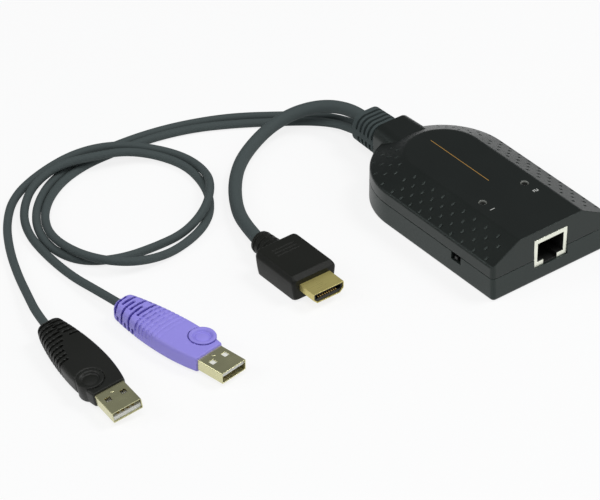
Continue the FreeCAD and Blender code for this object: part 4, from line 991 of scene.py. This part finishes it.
class SubAssembly:
    """A part of the dongle that dresses its CAD nodes and adds its own pieces."""

    def finishes(self) -> dict[Finish, Sequence[str]]:
        """The CAD nodes that keep their shape, by finish."""
        return {}

    def pieces(self) -> list[bpy.types.Object]:
        """Makes its new pieces: most parts have none."""
        return []

    def build(self, nodes: Nodes) -> list[bpy.types.Object]:
        """Dresses the CAD nodes and makes the new pieces.

        Args:
            nodes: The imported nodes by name.

        Returns:
            The new pieces.
        """
        for finish, names in self.finishes().items():
            for name in names:
                paint(nodes[name], finish)
        return self.pieces()

    def fit(self, piece: bpy.types.Object, finish: Finish, slot: str) -> None:
        """Paints a new piece, and fixes it to the adapter.

        Args:
            piece: The new piece.
            finish: Its finish.
            slot: The record's material slot, not used.
        """
        paint(piece, finish)
        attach(piece, "adapter")


@dataclass
class Case(SubAssembly):
    """The two-shell case, with its screws, its boot and the lamps in its panel.

    Args:
        pipes: CAD nodes of the light pipes.
        inner: Radius at the foot of a lamp's rim, in millimetres.
        outer: Radius at its mouth.
        height: Its height.
    """

    pipes: tuple[str, ...] = ("link_light_pipe", "power_light_pipe")
    inner: float = 1.2
    outer: float = 1.58
    height: float = 0.72

    def finishes(self) -> dict[Finish, Sequence[str]]:
        """The case's own nodes, by finish."""
        return {
            Finish.CASE: ("upper_case",),
            Finish.BASE: ("lower_case",),
            Finish.SCREW: ("case_screws",),
            Finish.BOOT: ("cable_boot",),
            Finish.PIPE: self.pipes,
            Finish.LAMP: ("link_led", "power_led"),
        }

    def pieces(self) -> list[bpy.types.Object]:
        """Makes the rims of the two lamps' wells, pale grey as a painted highlight on the wells'
        walls.

        Returns:
            The rims, in one piece.
        """
        bm = bmesh.new()
        profile = ((self.outer, 0.0), (self.inner, 0.0), (self.inner + 0.08, 0.35),
                   (self.outer - 0.12, self.height - 0.06), (self.outer - 0.05, self.height),
                   (self.outer, self.height - 0.03))
        for pipe in self.pipes:
            low, high = (Vector(corner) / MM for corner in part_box(pipe))
            centre = Vector(((low.x + high.x) / 2, (low.y + high.y) / 2, high.z))
            path = [centre + Vector((out, 0.0, up)) for out, up in profile]
            turned(bm, path, centre, (0, 0, 1), 40, closed=True)
        bmesh.ops.scale(bm, vec=(MM, MM, MM), verts=bm.verts)
        smooth(bm, 50.0)
        rims = new_piece("lamp_rims", bm)
        self.fit(rims, Finish.RIM, "case_plastic")
        return [rims]


class Socket(SubAssembly):
    """The network socket in the front."""

    def finishes(self) -> dict[Finish, Sequence[str]]:
        """The socket's nodes, by finish."""
        return {
            Finish.SHIELD: ("jack_shield",),
            Finish.INSULATOR: ("network_jack",),
            Finish.CONTACT: ("jack_contacts",),
        }


class RecoverySwitch(SubAssembly):
    """The slide switch in the side wall."""

    def finishes(self) -> dict[Finish, Sequence[str]]:
        """The switch's nodes, by finish."""
        return {
            Finish.INSULATOR: ("recovery_switch_body",),
            Finish.KNOB: ("recovery_switch_knob",),
        }


class Electronics(SubAssembly):
    """The circuit board, what it carries and the leads inside the case."""

    def finishes(self) -> dict[Finish, Sequence[str]]:
        """The nodes inside the case, by finish."""
        return {
            Finish.BOARD: ("circuit_board",),
            Finish.CHIP: ("processor", "video_chip", "memory_chip", "network_transformer",
                          "power_inductor"),
            Finish.TIN: ("crystal", "capacitors"),
            Finish.HEADER: ("hdmi_header", "usb_headers"),
            Finish.JACKET: ("hdmi_inner_lead", "black_inner_lead", "purple_inner_lead"),
        }


@dataclass
class HdmiPlug(SubAssembly):
    """The HDMI plug: a block grip with a ribbed gland, its gold shell and its contacts.

    Lengths are millimetres, measured back from the grip's front face.

    Args:
        lie: How it lies.
        cuts: Cuts of the grip's skin along its length, width and height.
        length: The block's length.
        half_width: Half its width.
        half_height: Half its height.
        waist: Height above the middle where its sides are widest.
        top_draw: How far its sides lean in up to the top.
        bottom_draw: How far they lean in down to the bottom.
        bevel_length: Length of the bevel behind the front face.
        bevel_drop: Its drop.
        front_round: Radius of the front corners in plan.
        rear_round: Radius of the rear corners in plan.
        rear_fall: Radius of the rear edges.
        corner: Radius of the edges along it.
        groove_start: Where the first groove of the top lies.
        groove_pitch: The grooves' pitch.
        groove_width: Their width.
        groove_depth: Their depth.
        groove_wall: Width of their sloping walls.
        groove_half_length: Half their length.
        grooves: How many there are.
        gland_length: Length of the gland.
        gland_radius: Its radius at the block.
        gland_end_radius: Its radius at the cable.
        gland_ribs: Its ribs.
        gland_groove: Depth between them.
        shell_length: How far the shell stands out.
        slot_rise: Height of the shell's slot above its middle.
        slot_half_height: Half the slot's height.
        spring_start: Where the contact springs leave the insulator.
        spring_set_back: How far they end behind the shell's mouth.
        spring_width: Their width.
        spring_pitch: Their pitch.
        spring_thickness: Their thickness.
        spring_hump: Height of their humps.
        hump_reach: Half the humps' length.
        springs: How many there are on the upper and the lower wall.
    """

    lie: Lie = Lie((-76.2, -2.6, 5.4), -90.0, 0.0)
    cuts: tuple[int, int, int] = (160, 60, 24)
    length: float = 24.0
    half_width: float = 10.0
    half_height: float = 5.4
    waist: float = 3.3
    top_draw: float = 1.0
    bottom_draw: float = 1.3
    bevel_length: float = 2.3
    bevel_drop: float = 1.15
    front_round: float = 1.2
    rear_round: float = 2.6
    rear_fall: float = 1.4
    corner: float = 0.5
    groove_start: float = 15.2
    groove_pitch: float = 1.8
    groove_width: float = 0.75
    groove_depth: float = 0.3
    groove_wall: float = 0.2
    groove_half_length: float = 5.8
    grooves: int = 3
    gland_length: float = 9.3
    gland_radius: float = 4.95
    gland_end_radius: float = 4.45
    gland_ribs: int = 3
    gland_groove: float = 0.45
    shell_length: float = 8.2
    slot_rise: float = 0.35
    slot_half_height: float = 0.95
    spring_start: float = 0.4
    spring_set_back: float = 0.75
    spring_width: float = 0.5
    spring_pitch: float = 1.0
    spring_thickness: float = 0.2
    spring_hump: float = 0.3
    hump_reach: float = 1.1
    springs: tuple[int, int] = (10, 9)

    def finishes(self) -> dict[Finish, Sequence[str]]:
        """The plug's nodes that keep their shape, by finish."""
        return {Finish.GOLD: ("hdmi_shell",), Finish.INSULATOR: ("hdmi_insulator",)}

    def pieces(self) -> list[bpy.types.Object]:
        """Makes the grip and the contact springs."""
        return [self.add_grip(), self.add_springs()]

    def skin_point(self, share: Vector) -> Vector:
        """The skin point for a point of a cube.

        Args:
            share: The cube's point, each part from -1 to 1.

        Returns:
            The point on the grip's block.
        """
        along = self.length * (1.0 - share.x) / 2
        behind = self.length - along
        width = (self.half_width - arc_fall(along, self.front_round)
                 - arc_fall(behind, self.rear_round))
        height = (self.half_height - self.bevel_drop * max(0.0, 1.0 - along / self.bevel_length)
                  - arc_fall(behind, self.rear_fall))
        flat = rounded(share.y * width, share.z * height, width, height, self.corner)
        above = max(0.0, flat.y - self.waist) / (self.half_height - self.waist)
        below = max(0.0, self.waist - flat.y) / (self.half_height + self.waist)
        narrowed = width - self.top_draw * above - self.bottom_draw * below ** 1.5
        sunk = self.groove_at(along, flat.x) if share.z > 0.999 else 0.0
        return Vector((-along, flat.x * narrowed / width, flat.y - sunk))

    def groove_at(self, along: float, across: float) -> float:
        """How deep the top's grooves are at a place.

        Args:
            along: Distance behind the front face.
            across: Place across the grip.

        Returns:
            The depth.
        """
        number = round((along - self.groove_start) / self.groove_pitch)
        if not 0 <= number < self.grooves:
            return 0.0
        gap = abs(along - self.groove_start - number * self.groove_pitch)
        inside = min(self.groove_width / 2 - gap, self.groove_half_length - abs(across))
        return self.groove_depth * min(1.0, max(0.0, inside / self.groove_wall))

    def add_grip(self) -> bpy.types.Object:
        """Makes the moulded block with its gland.

        Returns:
            The grip.
        """
        bm = fine_cube(self.cuts)
        for vertex in bm.verts:
            vertex.co = self.skin_point(vertex.co.copy())
        self.add_gland(bm)
        self.lie.lay(bm)
        smooth(bm, 32.0)
        grip = new_piece("hdmi_body", bm)
        self.fit(grip, Finish.PLUG_BLACK, "black_grip")
        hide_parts("hdmi_grip")
        return grip

    def add_gland(self, bm: bmesh.types.BMesh) -> None:
        """Adds the ribbed gland round the cable.

        Args:
            bm: The grip's bmesh.
        """
        root = -self.length + self.rear_fall
        end = -self.length - self.gland_length
        rib = self.gland_length / (self.gland_ribs * 2 + 1)
        profile = [(root, 0.0), (root, self.gland_radius + 0.2)]
        for number in range(self.gland_ribs):
            at = -self.length - rib * (number * 2 + 0.6)
            slope = (number * 2 + 1) / (self.gland_ribs * 2 + 1)
            out = self.gland_radius + (self.gland_end_radius - self.gland_radius) * slope
            profile += [(at, out), (at - rib * 0.25, out - self.gland_groove),
                        (at - rib * 0.65, out - self.gland_groove), (at - rib * 0.9, out)]
        tip = self.gland_end_radius
        profile += [(end + 1.3, tip), (end + 0.7, tip - 0.15), (end + 0.25, tip - 0.55),
                    (end, tip - 1.2), (end, 0.0)]
        path = [Vector((along, 0.0, out)) for along, out in profile]
        turned(bm, path, Vector(), (1, 0, 0), 64)

    def add_springs(self) -> bpy.types.Object:
        """Makes the contacts: flat springs on both walls of the slot, humped near the mouth.

        Returns:
            The springs, in one piece.
        """
        bm = bmesh.new()
        for side, count in zip((1.0, -1.0), self.springs):
            for number in range(count):
                across = (number - (count - 1) / 2) * self.spring_pitch
                self.add_spring(bm, side, across)
        self.lie.lay(bm)
        springs = new_piece("hdmi_springs", bm)
        self.fit(springs, Finish.CONTACT, "contact_gold")
        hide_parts("hdmi_contacts")
        return springs

    def add_spring(self, bm: bmesh.types.BMesh, side: float, across: float) -> None:
        """Adds one contact spring.

        Args:
            bm: The bmesh that it is added to.
            side: 1 for the slot's upper wall and -1 for the lower one.
            across: Its place across the plug.
        """
        front = self.shell_length - self.spring_set_back
        reach = self.hump_reach
        started = len(bm.verts)
        made = bmesh.ops.create_cube(bm, size=1.0)["verts"]
        edges = [edge for edge in {edge for vertex in made for edge in vertex.link_edges}
                 if abs(edge.verts[0].co.x - edge.verts[1].co.x) > 0.5]
        bmesh.ops.subdivide_edges(bm, edges=edges, cuts=15)
        bm.verts.ensure_lookup_table()
        spring = bm.verts[started:]
        wall = self.slot_rise + side * self.slot_half_height
        for vertex in spring:
            along = self.spring_start + (vertex.co.x + 0.5) * (front - self.spring_start)
            lift = self.spring_hump * max(0.0, 1.0 - abs(along - front + reach) / reach) ** 0.5
            depth = self.spring_thickness * (0.5 + vertex.co.z) + lift
            vertex.co = Vector((along, across + vertex.co.y * self.spring_width,
                                wall - side * depth))
        faces = {face for vertex in spring for face in vertex.link_faces}
        bmesh.ops.recalc_face_normals(bm, faces=list(faces))


@dataclass(frozen=True)
class Slot:
    """One slot across a USB grip, on one of its broad faces.

    Args:
        at: Its distance from the cable end, in millimetres.
        low: Where it starts across the grip.
        high: Where it ends across the grip.
        depth: Its depth.
    """

    at: float
    low: float
    high: float
    depth: float = 1.25


@dataclass
class UsbPlug(SubAssembly):
    """A USB plug: a waisted grip with rib slots and a dished thumb disc, and its metal shell.

    Lengths are millimetres. The grip's are measured back from its front face, and its slots'
    forward from the cable end.

    Args:
        colour: The word that its nodes' names start with.
        finish: The grip's finish.
        lie: How it lies.
        length: The grip's length.
        widest: Where it is widest.
        half_width: Half its width there.
        front_half_width: Half its width at the front face.
        end_half_width: Half its width at the cable end.
        front_half_height: Half its height at the front face.
        end_half_height: Half its height at the cable end.
        front_round: Radius of the front face's edges.
        end_round: Radius of the cable end's edges.
        edge_round: Radius of the edges along it, at the front face.
        edge_round_growth: How much larger it is at the cable end.
        slot_width: Width of a slot.
        slot_wall: Width of its sloping walls.
        slot_bow: How far its ends lie ahead of its middle.
        slot_pitch: Pitch of the upper face's slots.
        left_start: Where the first upper slot of the left side lies.
        right_start: Where the first upper slot of the right side lies.
        stagger_pitch: Pitch of the lower face's staggered slots.
        stagger_start: Where the first of those lies.
        between_start: Where the first slot between those lies.
        ridge_pitch: Pitch of the lower face's fading ridges.
        ridge_start: Where the first of those lies.
        disc_along: Where the thumb disc's middle lies along the grip.
        disc_across: How far it lies to the side.
        disc_radius: Its radius.
        disc_height: Half its height.
        moat_width: Width of the moat round it.
        moat_depth: The moat's depth.
        disc_sink: How far the skin is sunk inside the disc.
        cuts: Cuts of the grip's skin along its length, width and height.
        shell_half_height: Half the metal shell's height.
        boss_along: Where the shell's small boss stands.
        boss_radius: Its radius.
        boss_height: Its height.
    """

    colour: str
    finish: Finish
    lie: Lie
    length: float = 45.0
    widest: float = 16.0
    half_width: float = 8.2
    front_half_width: float = 6.5
    end_half_width: float = 4.5
    front_half_height: float = 3.1
    end_half_height: float = 4.1
    front_round: float = 0.6
    end_round: float = 2.4
    edge_round: float = 0.9
    edge_round_growth: float = 1.7
    slot_width: float = 1.0
    slot_wall: float = 0.2
    slot_bow: float = 0.9
    slot_pitch: float = 2.3
    left_start: float = 1.6
    right_start: float = 2.75
    stagger_pitch: float = 4.15
    stagger_start: float = 1.2
    between_start: float = 3.3
    ridge_pitch: float = 2.0
    ridge_start: float = 13.7
    disc_along: float = 7.8
    disc_across: float = 4.45
    disc_radius: float = 5.15
    disc_height: float = 3.5
    moat_width: float = 0.45
    moat_depth: float = 0.18
    disc_sink: float = 1.5
    cuts: tuple[int, int, int] = (179, 47, 11)
    shell_half_height: float = 2.25
    boss_along: float = 1.9
    boss_radius: float = 0.75
    boss_height: float = 0.22

    # Where each slot ends across the grip, and how deep each ridge is cut.
    UPPER_LEFT: ClassVar[Ends] = (0.9, 1.0, 1.0, 0.8, 0.4, -0.8, -2.0, -2.9, -3.5, -4.0)
    UPPER_RIGHT: ClassVar[Ends] = (-0.6, -0.4, 0.2, 1.4, 2.6)
    LOWER_FROM_SIDE: ClassVar[Ends] = (-1.9, -2.0, -1.7)
    LOWER_TO_SIDE: ClassVar[Ends] = (2.9, 3.2, 3.6)
    LOWER_STUBS: ClassVar[Ends] = (-3.7, -4.3, -4.9)
    RIDGES: ClassVar[Ends] = (0.5, 0.42, 0.36, 0.3, 0.24, 0.18, 0.12)

    def slot_row(self, start: float, pitch: float, ends: Sequence[float],
                 to_left: bool) -> list[Slot]:
        """A row of slots that run out through one side of the grip.

        Args:
            start: Where the first lies.
            pitch: The row's pitch.
            ends: Where each ends across the grip.
            to_left: Whether they run out through the left side.

        Returns:
            The slots.
        """
        side = self.half_width
        reaches = ((-side, end) if to_left else (end, side) for end in ends)
        return [Slot(start + pitch * step, *reach) for step, reach in enumerate(reaches)]

    def upper_slots(self) -> list[Slot]:
        """Slots of the upper face: those of one side reach further and carry on beside it."""
        return (self.slot_row(self.left_start, self.slot_pitch, self.UPPER_LEFT, True)
                + self.slot_row(self.right_start, self.slot_pitch, self.UPPER_RIGHT, False))

    def lower_slots(self) -> list[Slot]:
        """Slots of the lower face: deep and staggered by the cable, then fading ridges.

        Returns:
            The slots.
        """
        pitch, side = self.stagger_pitch, self.half_width
        return (self.slot_row(self.stagger_start, pitch, self.LOWER_FROM_SIDE, False)
                + self.slot_row(self.stagger_start, pitch, self.LOWER_STUBS, True)
                + self.slot_row(self.between_start, pitch, self.LOWER_TO_SIDE, True)
                + [Slot(self.ridge_start + self.ridge_pitch * step, -side, side, depth)
                   for step, depth in enumerate(self.RIDGES)])

    def width_at(self, along: float) -> float:
        """Half the grip's width.

        Args:
            along: Distance behind the front face.

        Returns:
            Half the width there.
        """
        if along < self.widest:
            reach, fall = self.widest, self.half_width - self.front_half_width
        else:
            reach, fall = self.length - self.widest, self.half_width - self.end_half_width
        radius = (reach ** 2 + fall ** 2) / (fall * 2)
        return self.half_width - radius + math.sqrt(radius ** 2 - (along - self.widest) ** 2)

    def end_inset(self, along: float) -> float:
        """How far both ends' rounding draws the skin in.

        Args:
            along: Distance behind the front face.

        Returns:
            The inset.
        """
        return (arc_fall(along, self.front_round)
                + arc_fall(self.length - along, self.end_round))

    def slot_depth(self, along: float, across: float, width: float, slots: list[Slot]) -> float:
        """How deep the slots of a face are at a place.

        Args:
            along: Distance behind the front face.
            across: Place across the grip.
            width: Half the width there.
            slots: The face's slots.

        Returns:
            The depth.
        """
        place = self.length - along - self.slot_bow * (across / width) ** 2
        deepest = 0.0
        for slot in slots:
            inside = min(place - slot.at, slot.at + self.slot_width - place,
                         across - slot.low, slot.high - across)
            deepest = max(deepest, slot.depth * min(1.0, max(0.0, inside / self.slot_wall)))
        return deepest

    def skin_point(self, share: Vector, upper: list[Slot], lower: list[Slot]) -> Vector:
        """The skin point for a point of a cube.

        Args:
            share: The cube's point, each part from -1 to 1.
            upper: Slots of the upper face.
            lower: Slots of the lower face.

        Returns:
            The point on the grip.
        """
        along = self.length * (1.0 - share.x) / 2
        slope = along / self.length
        width = self.width_at(along)
        height = self.front_half_height + (self.end_half_height - self.front_half_height) * slope
        across = share.y * width
        inset = self.end_inset(along)
        inset += self.slot_depth(along, across, width, upper if share.z > 0 else lower)
        gap = math.hypot(along - self.disc_along, across + self.disc_across) - self.disc_radius
        if 0.0 < gap < self.moat_width:
            inset += self.moat_depth
        width -= inset
        height -= inset + (self.disc_sink if gap <= 0.0 else 0.0)
        corner = self.edge_round + self.edge_round_growth * slope
        flat = rounded(share.y * width, share.z * height, width, height, corner)
        return Vector((-along, flat.x, flat.y))

    def finishes(self) -> dict[Finish, Sequence[str]]:
        """The plug's nodes that keep their shape, by finish."""
        return {
            Finish.NICKEL: (f"{self.colour}_usb_shell",),
            Finish.TONGUE: (f"{self.colour}_usb_tongue",),
            Finish.CONTACT: (f"{self.colour}_usb_contacts",),
        }

    def pieces(self) -> list[bpy.types.Object]:
        """Makes the grip and the shell's bosses."""
        return [self.add_grip(), self.add_bosses()]

    def add_grip(self) -> bpy.types.Object:
        """Makes the moulded grip with its slots and its thumb disc.

        Returns:
            The grip.
        """
        bm = fine_cube(self.cuts)
        upper, lower = self.upper_slots(), self.lower_slots()
        for vertex in bm.verts:
            vertex.co = self.skin_point(vertex.co.copy(), upper, lower)
        self.add_disc(bm)
        self.lie.lay(bm)
        smooth(bm, 32.0)
        grip = new_piece(f"{self.colour}_grip", bm)
        self.fit(grip, self.finish, f"{self.colour}_grip")
        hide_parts(f"{self.colour}_usb_grip")
        return grip

    def add_bosses(self) -> bpy.types.Object:
        """Makes the small domed boss behind the windows on both faces of the shell.

        Returns:
            The bosses, in one piece.
        """
        bm = bmesh.new()
        for side in (1.0, -1.0):
            start = Vector((self.boss_along, 0.0, side * self.shell_half_height))
            path = []
            for turn in (math.radians(degrees) for degrees in range(0, 91, 15)):
                out, up = math.cos(turn) * self.boss_radius, math.sin(turn) * self.boss_height
                path.append(start + Vector((out, 0.0, side * up)))
            turned(bm, path, start, (0, 0, 1), 24)
        self.lie.lay(bm)
        smooth(bm, 60.0)
        bosses = new_piece(f"{self.colour}_shell_bosses", bm)
        self.fit(bosses, Finish.NICKEL, "nickel_shell")
        return bosses

    def add_disc(self, bm: bmesh.types.BMesh) -> None:
        """Adds the thumb disc, dished on both faces.

        Args:
            bm: The grip's bmesh.
        """
        rim = self.disc_radius
        profile = [(0.0, -0.55), (1.2, -0.6), (2.2, -0.85), (2.8, -1.0), (3.3, -0.8), (3.7, -0.15),
                   (4.0, 0.0), (4.6, 0.0), (rim - 0.2, -0.1), (rim, -0.45)]
        start = Vector((-self.disc_along, -self.disc_across, 0.0))
        half = [Vector((out, 0.0, self.disc_height + sink)) for out, sink in profile]
        other = [Vector((point.x, 0.0, -point.z)) for point in reversed(half)]
        turned(bm, [start + point for point in half + other], start, (0, 0, 1), 72)


BLACK_LIE = Lie((-172.8, -9.2, 5.2), -95.8, 10.0)
PURPLE_LIE = Lie((-132.4, -13.4, 4.1), -81.0, 180.0, 0.5)


def main() -> None:
    """Builds the whole scene."""
    logging.basicConfig(level=logging.INFO, format="%(name)s: %(message)s")
    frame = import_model()
    Studio().build()
    assemblies = (
        Case(), Socket(), RecoverySwitch(), Electronics(), HdmiPlug(),
        UsbPlug("black", Finish.GRIP_BLACK, BLACK_LIE, disc_across=3.2),
        UsbPlug("purple", Finish.GRIP_PURPLE, PURPLE_LIE),
    )
    for assembly in assemblies:
        for piece in assembly.build(frame["nodes"]):
            LOG.info("%s: %d faces", piece.name, len(piece.data.polygons))
    for cable in CABLES:
        cable.build()
        LOG.info("%s: %.0f mm", cable.name, cable.length)


if __name__ == "__main__":
    main()
